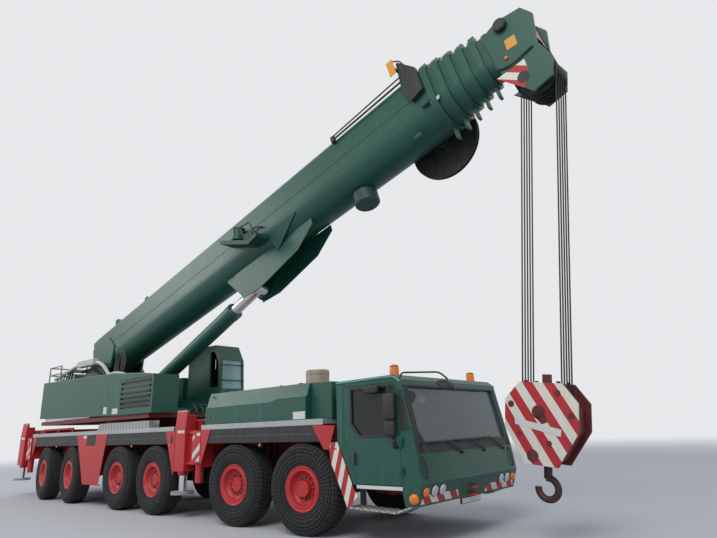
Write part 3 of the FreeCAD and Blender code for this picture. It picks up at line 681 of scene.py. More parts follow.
# Outriggers and jacks
# Each sliding beam ends in a hollow column with the jack inside it. A hazard-marked cover
# stands beside it. The beam slides in a box of the chassis, and the jack in the column.
def outrigger_pieces(beam_x):
    """A right-hand beam, its column and its cover, seen from the right."""
    column = slab("column", [(-1.505, 0.94), (-1.505, 1.82), (-1.475, 2.18), (-1.412, 2.18), (-1.412, 2.10),
                             (-1.235, 2.10), (-1.235, 0.94)],
                  beam_x - 0.20, beam_x + 0.20, "yz", 0.008)
    red_parts = [
        column,
        block("beam", (beam_x - 0.15, -1.43, 1.35), (beam_x + 0.15, 1.16, 1.87), 0.01),
        bar("tube", (beam_x, -1.37, 0.86), (beam_x, -1.37, 0.96), 0.115, 28),
        block("web", (beam_x + 0.19, -1.40, 1.08), (beam_x + 0.45, -1.36, 1.78)),
        block("arm", (beam_x + 0.19, -1.44, 1.08), (beam_x + 0.62, -1.30, 1.14)),
        block("arm", (beam_x + 0.19, -1.44, 1.70), (beam_x + 0.62, -1.30, 1.76)),
        block("cover", (beam_x + 0.48, -1.498, 1.13), (beam_x + 0.785, -1.484, 1.76)),
        block("cover_side", (beam_x + 0.48, -1.49, 1.15), (beam_x + 0.495, -1.36, 1.74)),
        block("cover_side", (beam_x + 0.77, -1.49, 1.15), (beam_x + 0.785, -1.36, 1.74)),
        bar("pipe", (beam_x + 0.62, -1.38, 0.72), (beam_x + 0.62, -1.38, 1.72), 0.085, 24),
        block("ledge", (beam_x + 0.48, -1.50, 1.115), (beam_x + 0.785, -1.30, 1.135)),
    ]
    for part in red_parts:
        part.data.materials.append(red)
    x = beam_x + 0.50
    marks = [
        block("sticker", (beam_x - 0.10, -1.5065, 1.725), (beam_x + 0.17, -1.5045, 1.785), 0.0005),
        slab("mark", [(x, 1.66), (x + 0.09, 1.66), (x, 1.54)], -1.4995, -1.4975, "xz", 0.0005),
        slab("mark", [(x, 1.17), (x, 1.30), (x + 0.27, 1.52), (x + 0.27, 1.39)], -1.4995, -1.4975, "xz",
             0.0005),
        slab("mark", [(x + 0.12, 1.15), (x + 0.27, 1.27), (x + 0.27, 1.15)], -1.4995, -1.4975, "xz", 0.0005),
        block("sticker", (x + 0.14, -1.4995, 1.66), (x + 0.27, -1.4975, 1.72), 0.0005),
        block("cap", (beam_x - 0.19, -1.472, 2.181), (beam_x + 0.19, -1.415, 2.20), 0.003),
    ]
    for part in marks:
        part.data.materials.append(white)
    dark = [
        block("strip", (beam_x - 0.20, -1.468, 2.20), (beam_x + 0.20, -1.42, 2.225), 0.004),
        slab("opening", [(beam_x + 0.42 + 0.07 * math.cos(a * math.pi / 8),
                          1.90 + 0.07 * math.sin(a * math.pi / 8))
                         for a in range(16)], -1.2, -1.18),
        bar("collar", (beam_x, -1.37, 0.855), (beam_x, -1.37, 0.875), 0.10, 28),
    ]
    for part in dark:
        part.data.materials.append(black)
    return red_parts + marks + dark


pad_grey = paint("pad_grey", (0.30, 0.31, 0.31), dust=(0.10, 0.09, 0.08), dust_level=0.7, roughness=0.6)
chrome = paint("hard_chrome", (0.72, 0.72, 0.73), roughness=0.14, dust_level=0.1, metallic=1.0)
for name in sorted(n for n in nodes if n.startswith("outrigger")):
    low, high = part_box(name)
    beam_x = (low.x + high.x) / 2 - front_axle
    parts = outrigger_pieces(beam_x if name.endswith("right") else 0.0)
    piece = join("dressed_" + name, parts)
    if name.endswith("left"):
        settle(piece, Matrix.Translation((beam_x, 0, 0)) @ Matrix.Rotation(math.pi, 4, "Z"))
    settle(piece, datum)
    finish_piece(piece, red, name, 30)
    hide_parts(name)


def jack_finish(x, y, z, normal):
    return 0 if z < 0.56 else 1


for name in nodes:
    if name.startswith("jack"):
        dress(name, [pad_grey, chrome], jack_finish)


# Engine cover with the exhaust silencer
# Sheet steel in dark green: a low body with a crease along it, a hood that leans inwards above
# it and a lower front part. The silencer is a banded drum of stainless steel.
green = paint("green_paint", (0.006, 0.074, 0.050), dust_level=0.08, roughness=0.34)
# A light green laid along creases, seams, gutters and edges: painted highlight where they catch the light.
highlight_green = paint("green_painted_highlight", (0.10, 0.33, 0.26), dust_level=0.25, roughness=0.45)
stainless = paint("stainless_steel", (0.42, 0.37, 0.30), shade=0.55, dust=(0.10, 0.07, 0.05), dust_level=0.5,
                  roughness=0.38, metallic=0.75)
body_outline = drawn([(-2940, 1870), (-2940, 2215), (-840, 2225), (-640, 2275), (118, 2275), (118, 1870)])
cover_parts = [slab("low_cover", body_outline, -1.45, 1.45, "xz", 0.012)]
cover_parts.append(slab("hood", [(-1.43, 2.20), (-1.335, 2.51), (1.335, 2.51), (1.43, 2.20)], -2.94, 0.11,
                        "yz", 0.012))
cover_parts.append(block("front_cover", (0.10, -1.30, 1.87), (0.62, 1.30, 2.50), 0.012))
for part in cover_parts:
    part.data.materials.append(green)
for side in (-1, 1):
    # The crease line is light green: a painted highlight along it.
    edge = pipe("crease",
                [(-2.93, side * 1.452, 2.216), (-0.84, side * 1.452, 2.226), (-0.64, side * 1.452, 2.276),
                           (0.11, side * 1.452, 2.276)], 0.004, sides=2)
    edge.data.materials.append(highlight_green)
    cover_parts.append(edge)
    for x in (-1.90, -1.14):
        # The panel seams are light green lines: painted highlight.
        seam = block("seam", (x - 0.004, side * 1.4515 - 0.001, 1.89),
                     (x + 0.004, side * 1.4515 + 0.001, 2.20), 0.0005)
        seam.data.materials.append(highlight_green)
        cover_parts.append(seam)
    sign = block("blank_sign", (-0.20, side * 1.453 - 0.003, 1.885), (0.11, side * 1.453 + 0.003, 2.015),
                 0.001)
    sign.data.materials.append(white)
    cover_parts.append(sign)
    for x, z in ((-2.75, 2.43), (-2.75, 2.02)):
        y = side * (1.452 if z < 2.2 else 1.39)
        hole = bar("hole", (x, y - 0.004, z), (x, y + 0.004, z), 0.028, 16)
        hole.data.materials.append(black)
        cover_parts.append(hole)
drum = turned_piece("silencer", [
    (0.16, -0.02), (0.215, -0.02), (0.225, 0.0), (0.225, 0.05), (0.229, 0.055), (0.229, 0.085), (0.225, 0.09),
    (0.225, 0.22), (0.229, 0.225), (0.229, 0.255), (0.225, 0.26), (0.225, 0.285), (0.213, 0.305),
    (0.06, 0.312),
], 40)
settle(drum, Matrix.Translation((-0.32, -0.70, 2.50)))
drum.data.materials.append(stainless)
cover_parts.append(drum)
for x, y, z, size in ((-0.90, -0.6, 2.515, 0.05), (-1.50, -0.6, 2.515, 0.03)):
    cap = turned_piece("cap",
                       [(size, 0), (size, 0.05), (size * 1.15, 0.055), (size * 1.15, 0.09),
                        (size * 0.5, 0.10)], 20)
    settle(cap, Matrix.Translation((x, y, z)))
    cap.data.materials.append(red)
    cover_parts.append(cap)
cover = fit("dressed_engine_cover", cover_parts, green, "carrier", 30)
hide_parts("engine_cover")


# Driver's cab
# A welded steel shell in green with a forward-leaning nose, a wide screen in a rubber seal
# between black pillars, bolted mirrors, lamps set in the bumper and a tread-plate step.
def slope(x0, z0, x1, z1):
    """A frame on a face that leans: X runs to the left side, Y up the slope, Z outwards."""
    along = Vector((x1 - x0, 0, z1 - z0)).normalized()
    out = Vector((along.z, 0, -along.x))
    return Matrix(((0, along.x, out.x, x0), (1, 0, 0, 0), (0, along.z, out.z, z0), (0, 0, 0, 1)))


def coloured(finish, *pieces):
    for piece in pieces:
        piece.data.materials.clear()
        piece.data.materials.append(finish)
    return list(pieces)


def striped(direction, pitch, offset=0.0):
    """Red and white hazard stripes: the colour changes with the distance along a direction."""
    def bands(tree, coordinates):
        along = add(tree, "ShaderNodeVectorMath", operation="DOT_PRODUCT")
        along.inputs[1].default_value = [c / pitch for c in Vector(direction).normalized()]
        shifted = add(tree, "ShaderNodeMath", operation="ADD")
        shifted.inputs[1].default_value = offset + 1000.0
        part = add(tree, "ShaderNodeMath", operation="FRACT")
        side = add(tree, "ShaderNodeMath", operation="GREATER_THAN")
        side.inputs[1].default_value = 0.5
        tone = add(tree, "ShaderNodeMix", data_type="RGBA")
        tone.inputs["A"].default_value = (0.40, 0.012, 0.018, 1)
        tone.inputs["B"].default_value = (0.66, 0.62, 0.54, 1)
        link = tree.links.new
        link(coordinates, along.inputs[0])
        link(along.outputs["Value"], shifted.inputs[0])
        link(shifted.outputs["Value"], part.inputs[0])
        link(part.outputs["Value"], side.inputs[0])
        link(side.outputs["Value"], tone.inputs["Factor"])
        return tone.outputs["Result"]
    return bands


def hazard(name, direction, pitch, offset=0.0):
    return coated(name, striped(direction, pitch, offset), (0.18, 0.15, 0.13), 0.35, 0.45, 0.001, 0.0)


def lens(place, radius, finish, out=(1, 0, 0), height=0.03):
    lamp = turned_piece("lamp", [
        (radius, 0), (radius * 1.08, height * 0.2), (radius, height * 0.6), (radius * 0.6, height * 0.95),
        (radius * 0.15, height),
    ], 24)
    turn = Vector(out).to_track_quat("Z", "Y").to_matrix().to_4x4()
    settle(lamp, Matrix.Translation(Vector(place)) @ turn)
    return coloured(finish, lamp)


def glazed(name, colour, clearness, roughness):
    """A pane of tinted glass. The clearness is the share of light that passes through it."""
    material, tree, output = new_material(name)
    shader = add(tree, "ShaderNodeBsdfPrincipled", Roughness=roughness, IOR=1.45)
    shader.inputs["Base Color"].default_value = (*colour, 1)
    shader.inputs["Transmission Weight"].default_value = clearness
    tree.links.new(shader.outputs["BSDF"], output.inputs["Surface"])
    return material


glass = glazed("tinted_glass", (0.30, 0.36, 0.36), 0.80, 0.03)
dark_glass = glazed("dark_glass", (0.012, 0.015, 0.016), 0.0, 0.04)
lamp_glass = paint("lamp_glass", (0.62, 0.64, 0.66), roughness=0.12, dust_level=0.1, metallic=0.6)
cloth = paint("seat_trim", (0.03, 0.03, 0.034), dust_level=0.15, roughness=0.85)


def cab_finish(x, y, z, normal):
    if x > 2.455 and z < 0.76 and abs(y) < 0.1 and not 0.9 < normal.x < 0.99:
        return 1
    if 1.0 < x < 2.2 and abs(y) < 1.3 and 0.86 < z < 2.2:
        return 2
    return 0


dress("cab", [green, red, cloth], cab_finish)
dress("cab_glass", [glass])
nose = slope(2.54, 0.90, 2.48, 1.32)
screen = slope(2.48, 1.32, 2.24, 2.39)
bumper = slope(2.44, 0.59, 2.54, 0.90)


def on(frame_matrix, *pieces):
    for piece in pieces:
        settle(piece, frame_matrix)
    return list(pieces)


black_trim = on(
    screen,
    slab("band", [(-1.44, -0.01), (1.44, -0.01), (1.39, 0.135), (-1.39, 0.135)], 0.0, 0.006, "xy"),
    slab("pillar", [(-1.45, -0.01), (-1.46, 0.70), (-1.44, 1.01), (-1.33, 1.01), (-1.33, 0.0)], 0.0, 0.006,
         "xy"),
    slab("pillar", [(1.45, -0.01), (1.46, 0.70), (1.44, 1.01), (1.33, 1.01), (1.33, 0.0)], 0.0, 0.006, "xy"),
    slab("top_seal", [(-1.40, 0.99), (1.40, 0.99), (1.40, 1.02), (-1.40, 1.02)], 0.0, 0.006, "xy"),
    bar("wiper_rod", (-1.30, 0.135, 0.015), (0.80, 0.155, 0.015), 0.014, 12),
)
for y in (-0.64, 0.08, 0.76):
    black_trim += [
        pipe("wiper_arm", [(2.465, y, 1.46), (2.50, y + 0.06, 1.44), (2.515, y + 0.38, 1.275)], 0.011, 0.02),
        bar("wiper_pivot", (2.49, y + 0.38, 1.27), (2.53, y + 0.38, 1.275), 0.02, 14),
        pipe("blade", [(2.47, y - 0.42, 1.43), (2.475, y + 0.30, 1.47)], 0.009),
    ]
coloured(black, *black_trim)
# The light green line along the nose panel's edge is a painted highlight.
light_edges = on(
    nose,
    pipe("edge", [(-1.25, 0.409, 0.001), (-0.50, 0.008, 0.001), (0.50, 0.008, 0.001), (1.25, 0.409, 0.001)],
         0.004,
         sides=2),
)
coloured(highlight_green, *light_edges)
raised = coloured(green, *on(nose, slab(
    "panel", [(-1.24, 0.408), (-0.50, 0.01), (0.50, 0.01), (1.24, 0.408)], 0.0, 0.006, "xy")))
cab_front = black_trim + light_edges + raised
front_lamps = []
for side in (-1, 1):
    cab_front += coloured(black, pipe(
        "grab_bar", [(2.525, side * 1.36, 0.96), (2.56, side * 1.36, 0.99), (2.515, side * 1.36, 1.25),
                     (2.48, side * 1.36, 1.28)], 0.013, 0.02))
    cab_front += lens((2.495, side * 1.36, 0.785), 0.062, amber, (0.95, 0, -0.3), 0.05)
    for y in (1.14, 0.93):
        cab_front += coloured(black,
                              *on(bumper, bar("ring", (side * y, 0.20, -0.01), (side * y, 0.20, 0.006), 0.088,
                                              24)))
        cab_front += lens((2.506, side * y, 0.782), 0.072, lamp_glass, (0.95, 0, -0.3), 0.03)
    cab_front += lens((2.40, side * 1.50, 0.70), 0.068, amber, (0.35, side * 1.0, -0.1), 0.06)
front_stripes = hazard("bumper_stripes", (0, 1, 1), 0.26)
cab_front += coloured(front_stripes, *on(
    bumper,
    slab("stripes", [(-1.44, 0.03), (-1.40, 0.155), (-0.47, 0.155), (-0.40, 0.03)], 0.0, 0.004, "xy"),
    slab("stripes", [(1.44, 0.03), (1.40, 0.155), (0.47, 0.155), (0.40, 0.03)], 0.0, 0.004, "xy")))
cab_front += coloured(white, block("blank_plate", (2.425, -0.27, 0.505), (2.435, 0.31, 0.58), 0.002))
cab_front += coloured(black, block("plate_holder", (2.40, -0.29, 0.495), (2.425, 0.33, 0.60), 0.003))
round_mirror = turned_piece("round_mirror",
                            [(0.02, 0), (0.10, 0.02), (0.155, 0.06), (0.168, 0.10), (0.160, 0.112)], 30)
settle(round_mirror, Matrix.Translation((2.66, -0.79,
                                         2.37)) @ Vector((-0.45, 0.0, -0.89)).to_track_quat("Z", "Y")
       .to_matrix().to_4x4())
cab_front += coloured(black, round_mirror, pipe(
    "mirror_arm", [(2.16, -1.38, 2.40), (2.20, -1.38, 2.50), (2.58, -0.90, 2.50), (2.66, -0.79, 2.39)], 0.014,
    0.06))
fit("cab_front_trim", cab_front, black, "carrier")

cab_sides = []
cab_sides += coloured(black, *both([
    slab("quarter", drawn([(2215, 1640), (2385, 1640), (2262, 2240), (2185, 2240)]), -1.506, -1.500),
]))
cab_sides += coloured(white, *both([
    block("sill", (1.31, -1.503, 0.80), (2.20, -1.47, 0.852), 0.004),
]))
cab_sides += coloured(tread_plate, *both([
    slab("step", drawn([(1130, 500), (2055, 476), (2360, 585), (2360, 610), (2050, 506), (1130, 532)]),
         -1.495, -1.20),
]))
cab_sides += coloured(black, *both([
    slab("bracket", drawn([(1130, 500), (1130, 850), (1250, 850), (1250, 500)]), -1.22, -1.20),
    slab("bracket", drawn([(2140, 500), (2140, 850), (2230, 850), (2250, 560)]), -1.30, -1.20),
    slab("lining", drawn([(905, 1490), (1235, 850), (1200, 830), (865, 1480)]), -1.48, -0.50),
]))
# The gutter and the door seam are light green: painted highlight.
cab_sides += coloured(highlight_green, *both([
    pipe("gutter", [(0.93, -1.505, 2.425), (2.13, -1.505, 2.445), (2.25, -1.505, 2.36)], 0.016, 0.05),
    block("seam", (0.998, -1.502, 1.42), (1.004, -1.499, 2.40), 0.0005),
]))
side_stripes = hazard("cab_side_stripes", (0.95, 0, -0.30), 0.20, 0.12)
cab_sides += coloured(side_stripes, *both([
    slab("stripes", drawn([(715, 1490), (915, 1490), (1248, 785), (1335, 690), (1112, 490), (760, 1180)]),
         -1.502, -1.492),
]))
for side in (-1, 1):
    dome = turned_piece("beacon",
                        [(0.085, 0), (0.085, 0.03), (0.076, 0.035), (0.076, 0.14), (0.062, 0.18),
                         (0.02, 0.20)], 28)
    settle(dome, Matrix.Translation((1.93, side * 1.20, 2.465)))
    cab_sides += coloured(amber, dome)
    foot = turned_piece("foot", [(0.05, 0), (0.09, 0.005), (0.09, 0.03), (0.05, 0.035)], 24)
    settle(foot, Matrix.Translation((1.93, side * 1.20, 2.43)))
    cab_sides += coloured(black, foot)
fit("cab_side_trim", cab_sides, black, "carrier")


def door_trim(side):
    """The window seal, the handle and the mirrors of one door, which swing with it."""
    outer = drawn([(1205, 2330), (1205, 1745), (1385, 1545), (2098, 1545), (2165, 1635), (2133, 2330)])
    inner = drawn([(1250, 2290), (1250, 1765), (1405, 1590), (2078, 1590), (2118, 1655), (2090, 2290)])
    parts = [
        slab("seal", [outer, inner], -1.507, -1.499, "xz", 0.002),
        block("handle_seat", (1.275, -1.506, 1.13), (1.325, -1.499, 1.34), 0.003),
        pipe("handle", [(1.30, -1.50, 1.15), (1.30, -1.53, 1.17), (1.30, -1.53, 1.30), (1.30, -1.50, 1.32)],
             0.011, 0.02),
        block("mirror", (1.96, -1.598, 1.80), (2.17, -1.515, 2.19), 0.03, 3),
        block("mirror", (1.97, -1.598, 1.565), (2.16, -1.515, 1.785), 0.03, 3),
        pipe("mirror_arm", [(1.95, -1.50, 2.31), (2.06, -1.55, 2.30), (2.07, -1.55, 1.60),
                            (2.10, -1.50, 1.52)], 0.013, 0.03),
        block("kerb_mirror", (1.58, -1.598, 2.21), (1.87, -1.51, 2.33), 0.028, 3),
        pipe("low_arm", [(2.05, -1.50, 1.54), (2.10, -1.56, 1.50), (2.14, -1.56, 1.46)], 0.009, 0.02),
        turned_piece("low_mirror", [(0.02, 0), (0.055, 0.012), (0.06, 0.03), (0.05, 0.035)], 20),
    ]
    settle(parts[-1], Matrix.Translation((2.15, -1.54, 1.44)) @ Matrix.Rotation(math.radians(-100), 4, "Y"))
    if side > 0:
        right_parts, parts = parts, mirrored("left", parts)
        for part in right_parts:
            bpy.data.objects.remove(part)
    return parts


def door_finish(x, y, z, normal):
    return 1 if z > 1.60 and 1.460 < abs(y) < 1.482 and abs(normal.y) > 0.9 else 0


for side, name in ((-1, "cab_door_right"), (1, "cab_door_left")):
    dress(name, [green, dark_glass], door_finish)
    fit(name + "_trim", door_trim(side), black, name)


# Superstructure, winch and crane cab
# Green housings of sheet steel on the red bed. The louvres are black behind their slats, and
# pale grey pipes and black hoses run over the tail, between light grey hand rails.
dark_green = paint("shaded_green", (0.008, 0.05, 0.038), dust=(0.05, 0.05, 0.05), dust_level=0.4,
                   roughness=0.5)
steel = paint("bare_steel", (0.26, 0.26, 0.27), roughness=0.42, metallic=0.9)
cream = paint("cream_paint", (0.52, 0.50, 0.44), dust_level=0.4, roughness=0.5)


BED_TOP = 2.235


def bed_finish(x, y, z, normal):
    return 1 if z > BED_TOP else 0


dress("slew_bed", [shade_and_dirt_red, green], bed_finish)
dress("housing_right", [green])
dress("housing_left", [green])
dress("winch_frame", [green])
dress("winch_drum", [steel])
dress("crane_cab", [green])
dress("crane_cab_door", [green])
pale_glass = glazed("pale_glass", (0.30, 0.52, 0.50), 0.35, 0.06)
dress("crane_cab_glass", [pale_glass])
housing = []
for n in range(7):
    z = 2.42 + n * 0.107
    housing += coloured(black,
                        block("slot", (-6.72 + n * 0.012, -1.4525, z), (-5.35, -1.4495, z + 0.058), 0.001))
# The housing's seams and its top edge are light green lines: painted highlight.
for a, b in (((-7.21, 3.29), (-6.86, 2.28)), ((-7.83, 3.35), (-7.49, 2.30))):
    housing += coloured(highlight_green,
                        pipe("seam", [(a[0], -1.4515, a[1]), (b[0], -1.4515, b[1])], 0.007, sides=2))
housing += coloured(highlight_green,
                    pipe("top_edge", [(-12.10, -1.45, 3.438), (-7.30, -1.45, 3.328), (-5.56, -1.45, 3.188)],
                                     0.008, sides=2))
for x, z in ((-10.18, 2.50), (-9.02, 2.44), (-7.83, 2.47)):
    housing += coloured(black, bar("hole", (x, -1.452, z), (x, -1.448, z), 0.028, 16))
for low_x, high_x, low_z, high_z in ((-7.71, -7.50, 2.29, 2.47), (-7.21, -6.90, 2.27, 2.41)):
    housing += coloured(white, block("sticker", (low_x, -1.4525, low_z), (high_x, -1.449, high_z), 0.0005))
housing += coloured(white, block("edge_strip", (-11.74, -1.42, 2.235), (-8.60, -1.395, 2.325), 0.004))
housing += lens((-12.05, -1.45, 2.44), 0.03, lamp_glass, (0, -1, 0), 0.02)
rail = []
for y in (-0.93, 0.93):
    rail += [block("channel", (-13.20, y - 0.04, 3.42), (-11.90, y + 0.04, 3.54), 0.008)]
    for x in (-13.15, -12.22):
        rail.append(pipe("post", [(x, y, 3.52), (x, y, 4.05)], 0.022))
    for z in (4.05, 3.80):
        rail.append(pipe("rail", [(-13.18, y, z), (-12.20, y, z)], 0.022))
rail += [pipe("rail", [(-13.15, -0.93, 4.05), (-13.15, 0.93, 4.05)], 0.022),
         pipe("rail", [(-13.15, -0.93, 3.80), (-13.15, 0.93, 3.80)], 0.022)]
housing += coloured(pad_grey, *rail)
housing += coloured(cream,
                    pipe("pipe", [(-12.9, -0.83, 3.66), (-10.9, -0.86, 3.98), (-9.4, -0.88, 3.90),
                                  (-8.8, -0.88, 3.45)],
                                0.055, 0.35),
                    block("box", (-10.9, -0.98, 3.84), (-9.75, -0.80, 4.04), 0.02),
                    pipe("pipe", [(-8.7, -1.0, 3.42), (-8.1, -1.05, 3.46), (-7.4, -1.1, 3.36)], 0.035, 0.2))
hoses = []
for k in range(6):
    y = -0.80 + 0.05 * k
    hoses.append(pipe("hose",
                      [(-12.8 + 0.1 * k, y, 3.60), (-12.1, y - 0.04, 3.92 + 0.03 * (k % 3)), (-11.3, y, 3.72),
                               (-10.4, y + 0.02, 3.80 + 0.04 * (k % 2)), (-9.6, y, 3.50)], 0.022, 0.4))
for k in range(3):
    hoses.append(pipe("hose",
                      [(-8.30 + 0.10 * k, -0.95, 3.30), (-8.42 + 0.10 * k, -0.93, 3.75),
                       (-8.20 + 0.1 * k, -0.90, 4.15),
                               (-7.95 + 0.1 * k, -0.92, 3.80), (-8.05 + 0.1 * k, -0.95, 3.30)], 0.020, 0.3))
for k in range(4):
    hoses.append(pipe("hose",
                      [(-5.35, -0.50 + 0.18 * k, 2.20), (-4.95, -0.48 + 0.18 * k, 2.45),
                       (-4.75, -0.46 + 0.18 * k, 2.20),
                               (-4.90, -0.45 + 0.18 * k, 1.96)], 0.024, 0.2))
housing += coloured(black, *hoses)
fit("tail_and_housing_trim", housing, black, "superstructure")

coils = []
for k in range(24):
    ring = turned_piece("coil", [(0.30, 0.0), (0.312, 0.016), (0.30, 0.032), (0.26, 0.016)], 32, closed=True)
    settle(ring, Matrix.Translation((-12.75, -0.386 + 0.032 * k,
                                     3.55)) @ Matrix.Rotation(math.radians(-90), 4, "X"))
    coils.append(ring)
wire = paint("rope_wire", (0.030, 0.030, 0.032), dust_level=0.3, roughness=0.5, metallic=0.4)
fit("winch_rope", coils, wire, "winch_drum", 40)
low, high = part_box("crane_cab")
low, high = low - at(0, 0, 0), high - at(0, 0, 0)
crane_trim = []
for z in (3.12, 3.55):
    crane_trim += coloured(black,
                           block("bar", (high.x - 0.03, low.y + 0.05, z),
                                 (high.x + 0.012, high.y - 0.06, z + 0.02), 0.003))
crane_trim += coloured(white,
                       block("label", (high.x + 0.001, low.y + 0.10, 2.62),
                             (high.x + 0.006, low.y + 0.24, 2.72), 0.001),
                       block("label", (high.x + 0.001, low.y + 0.35, 2.70),
                             (high.x + 0.006, low.y + 0.44, 2.82), 0.001))
fit("crane_cab_trim", crane_trim, black, "superstructure")


# Boom, its telescopic sections and the head
# Folded green plate with a joint line along each side, and machined collars at the ends of
# the sections. Guides, rods, a walkway tray and the cable reel are bolted to the base section.
BOOM_FOOT, BOOM_RISE = (-10.8, 0, 4.15), math.radians(15.4)
boom_frame = Matrix.Translation(at(*BOOM_FOOT)) @ Matrix.Rotation(-BOOM_RISE, 4, "Y")
dress("boom_base", [green])
for n in range(1, 6):
    dress("telescope_%d" % n, [green])
dress("head_sheaves", [black])
gear = []
for side in (-1, 1):
    gear += coloured(dark_green,
                     block("joint_line", (0.9, side * 0.501 - 0.002, -0.215),
                           (13.6, side * 0.501 + 0.002, -0.205), 0.001))
    gear += coloured(dark_green,
                     block("joint_line", (0.9, side * 0.502 - 0.003, 0.06),
                           (13.6, side * 0.502 + 0.003, 0.068), 0.001))
    gear += coloured(green,
                     slab("ear_plate", [(7.45, -1.34), (8.10, -1.38), (9.55, -1.12), (10.15, -0.76),
                                        (10.15, -0.61), (7.30, -0.61)],
                                 side * 0.315 - 0.012, side * 0.315 + 0.012, "xz", 0.003))
    gusset = slab("gusset", [(8.85, 0.0), (9.90, 0.0), (8.95, -0.50)], -0.01, 0.01)
    settle(gusset, Matrix.Translation((0, side * 0.50,
                                       -0.34)) @ Matrix.Rotation(math.radians(-side * 20), 4, "X"))
    gear += coloured(green, gusset)
gear += coloured(dark_green,
                 slab("tray", [(7.55, 0.13), (8.56, -0.42), (8.86, -0.38), (8.86, -0.48), (8.53, -0.53),
                               (7.55, 0.02)], -0.85, -0.505))
tray_drum = turned_piece("drum",
                         [(0.15, 0), (0.165, 0.01), (0.165, 0.05), (0.155, 0.06), (0.155, 0.27),
                          (0.165, 0.28), (0.165, 0.31), (0.15, 0.32)], 28)
settle(tray_drum, Matrix.Translation((8.02, -0.68, -0.10)) @ Matrix.Rotation(math.radians(15.4), 4, "Y"))
gear += coloured(green, tray_drum)
gear += coloured(dark_green,
                 pipe("tray_rail", [(8.45, -0.84, -0.38), (8.35, -0.84, 0.05), (8.70, -0.84, 0.0),
                                    (8.80, -0.84, -0.40)], 0.018, 0.05),
                 block("valve", (8.33, -0.76, -0.36), (8.62, -0.60, -0.12), 0.02),
                 pipe("hose", [(8.2, -0.6, -0.2), (8.5, -0.56, 0.05), (8.8, -0.54, -0.1)], 0.02, 0.1))
gear += coloured(dark_green, bar("underpot", (11.5, 0, -1.02), (11.5, 0, -0.68), 0.27, 36))
gear += coloured(black,
                 slab("bracket", [(13.38, 0.30), (13.46, 1.02), (13.50, 1.02), (13.80, 0.62), (13.80, 0.05),
                                  (13.50, -0.02)], -0.60, -0.505),
                 pipe("rod", [(11.45, -0.56, 0.56), (13.50, -0.56, 0.58)], 0.022),
                 pipe("rod", [(11.45, -0.56, 0.64), (13.50, -0.56, 0.70)], 0.016),
                 block("rod_foot", (11.40, -0.58, 0.50), (11.50, -0.49, 0.66), 0.01),
                 pipe("hoop", [(13.40, -0.70, 0.96), (13.44, -0.70, 1.03), (13.56, -0.62, 0.99),
                               (13.60, -0.56, 0.88)], 0.014, 0.04))
orange = paint("orange_plate", (0.70, 0.30, 0.02), dust_level=0.2, roughness=0.4)
gear += coloured(orange, block("orange_plate", (13.33, -0.765, 0.66), (13.48, -0.75, 1.02), 0.003))
gear += coloured(black, block("plate_arm", (13.42, -0.75, 0.80), (13.46, -0.56, 0.86), 0.004))
gear += coloured(white,
                 slab("label", [(13.80, -0.27), (14.02, -0.25), (14.0, -0.33), (13.82, -0.345)], -0.506,
                      -0.501, "xz", 0.001))
gear += coloured(dark_green, block("sensor", (13.64, -0.58, -0.30), (13.80, -0.50, -0.20), 0.01))
gear += coloured(dark_green, block("sensor", (13.28, -0.57, -0.83), (13.44, -0.42, -0.74), 0.01))
reel = turned_piece("reel",
                    [(0.74, 0), (0.78, 0.006), (0.78, 0.020), (0.70, 0.024), (0.70, 0.062), (0.78, 0.066),
                     (0.78, 0.086), (0.74, 0.092)], 56)
settle(reel, Matrix.Translation((13.35, 0.548, -0.42)) @ Matrix.Rotation(math.radians(-90), 4, "X"))
gear += coloured(black, reel, bar("hub", (13.35, 0.49, -0.42), (13.35, 0.70, -0.42), 0.12, 24))
gear += coloured(steel, bar("roller", (3.0, -0.25, 0.79), (3.0, 0.25, 0.79), 0.06, 20),
                 bar("roller", (1.15, -0.25, 0.86), (1.15, 0.25, 0.86), 0.09, 20))
for s, t in ((3.0, 0.79), (1.15, 0.86)):
    for side in (-1, 1):
        gear += coloured(dark_green,
                         slab("guide", [(s - 0.14, 0.69), (s + 0.14, 0.69), (s + 0.07, t + 0.07),
                                        (s - 0.07, t + 0.07)], side * 0.27 - 0.012, side * 0.27 + 0.012))
fit("boom_gear", gear, black, "boom", 35, boom_frame)

head_stripes = hazard("head_stripes", (0.55, 0, 1), 0.26, 0.1)
head = []
head += coloured(head_stripes, *both([
    slab("stripes", [(15.03, -0.66), (15.58, -0.66), (15.56, -0.92), (15.38, -1.17)], -0.334, -0.3295, "xz",
         0.001),
]))
head += coloured(orange, *both([
    slab("orange_plate", [(15.40, -0.28), (15.60, -0.30), (15.62, -0.08), (15.42, -0.06)], -0.334, -0.3295,
         "xz", 0.001),
]))
head += lens((15.33, -0.33, -0.41), 0.035, amber, (0, -1, 0), 0.04)
head += coloured(black, bar("pin_hole", (15.44, -0.337, -0.96), (15.44, -0.32, -0.96), 0.11, 24),
                 bar("top_pin", (15.48, -0.42, 0.27), (15.48, 0.42, 0.27), 0.125, 28),
                 pipe("cable", [(15.10, -0.345, -0.52), (15.35, -0.36, -0.62), (15.80, -0.35, -0.55)], 0.014,
                      0.1))
end_stripes = hazard("head_end_stripes", (0, 1, 0.6), 0.22)
head += coloured(end_stripes,
                 slab("end_plate", [(-0.26, -0.40), (0.26, -0.40), (0.26, 0.02), (-0.26, 0.02)], 15.905,
                      15.915, "yz", 0.002))
fit("head_markings", head, green, "telescope_5", 35, boom_frame)
tops = [0.90, 0.84, 0.77, 0.70, 0.63]
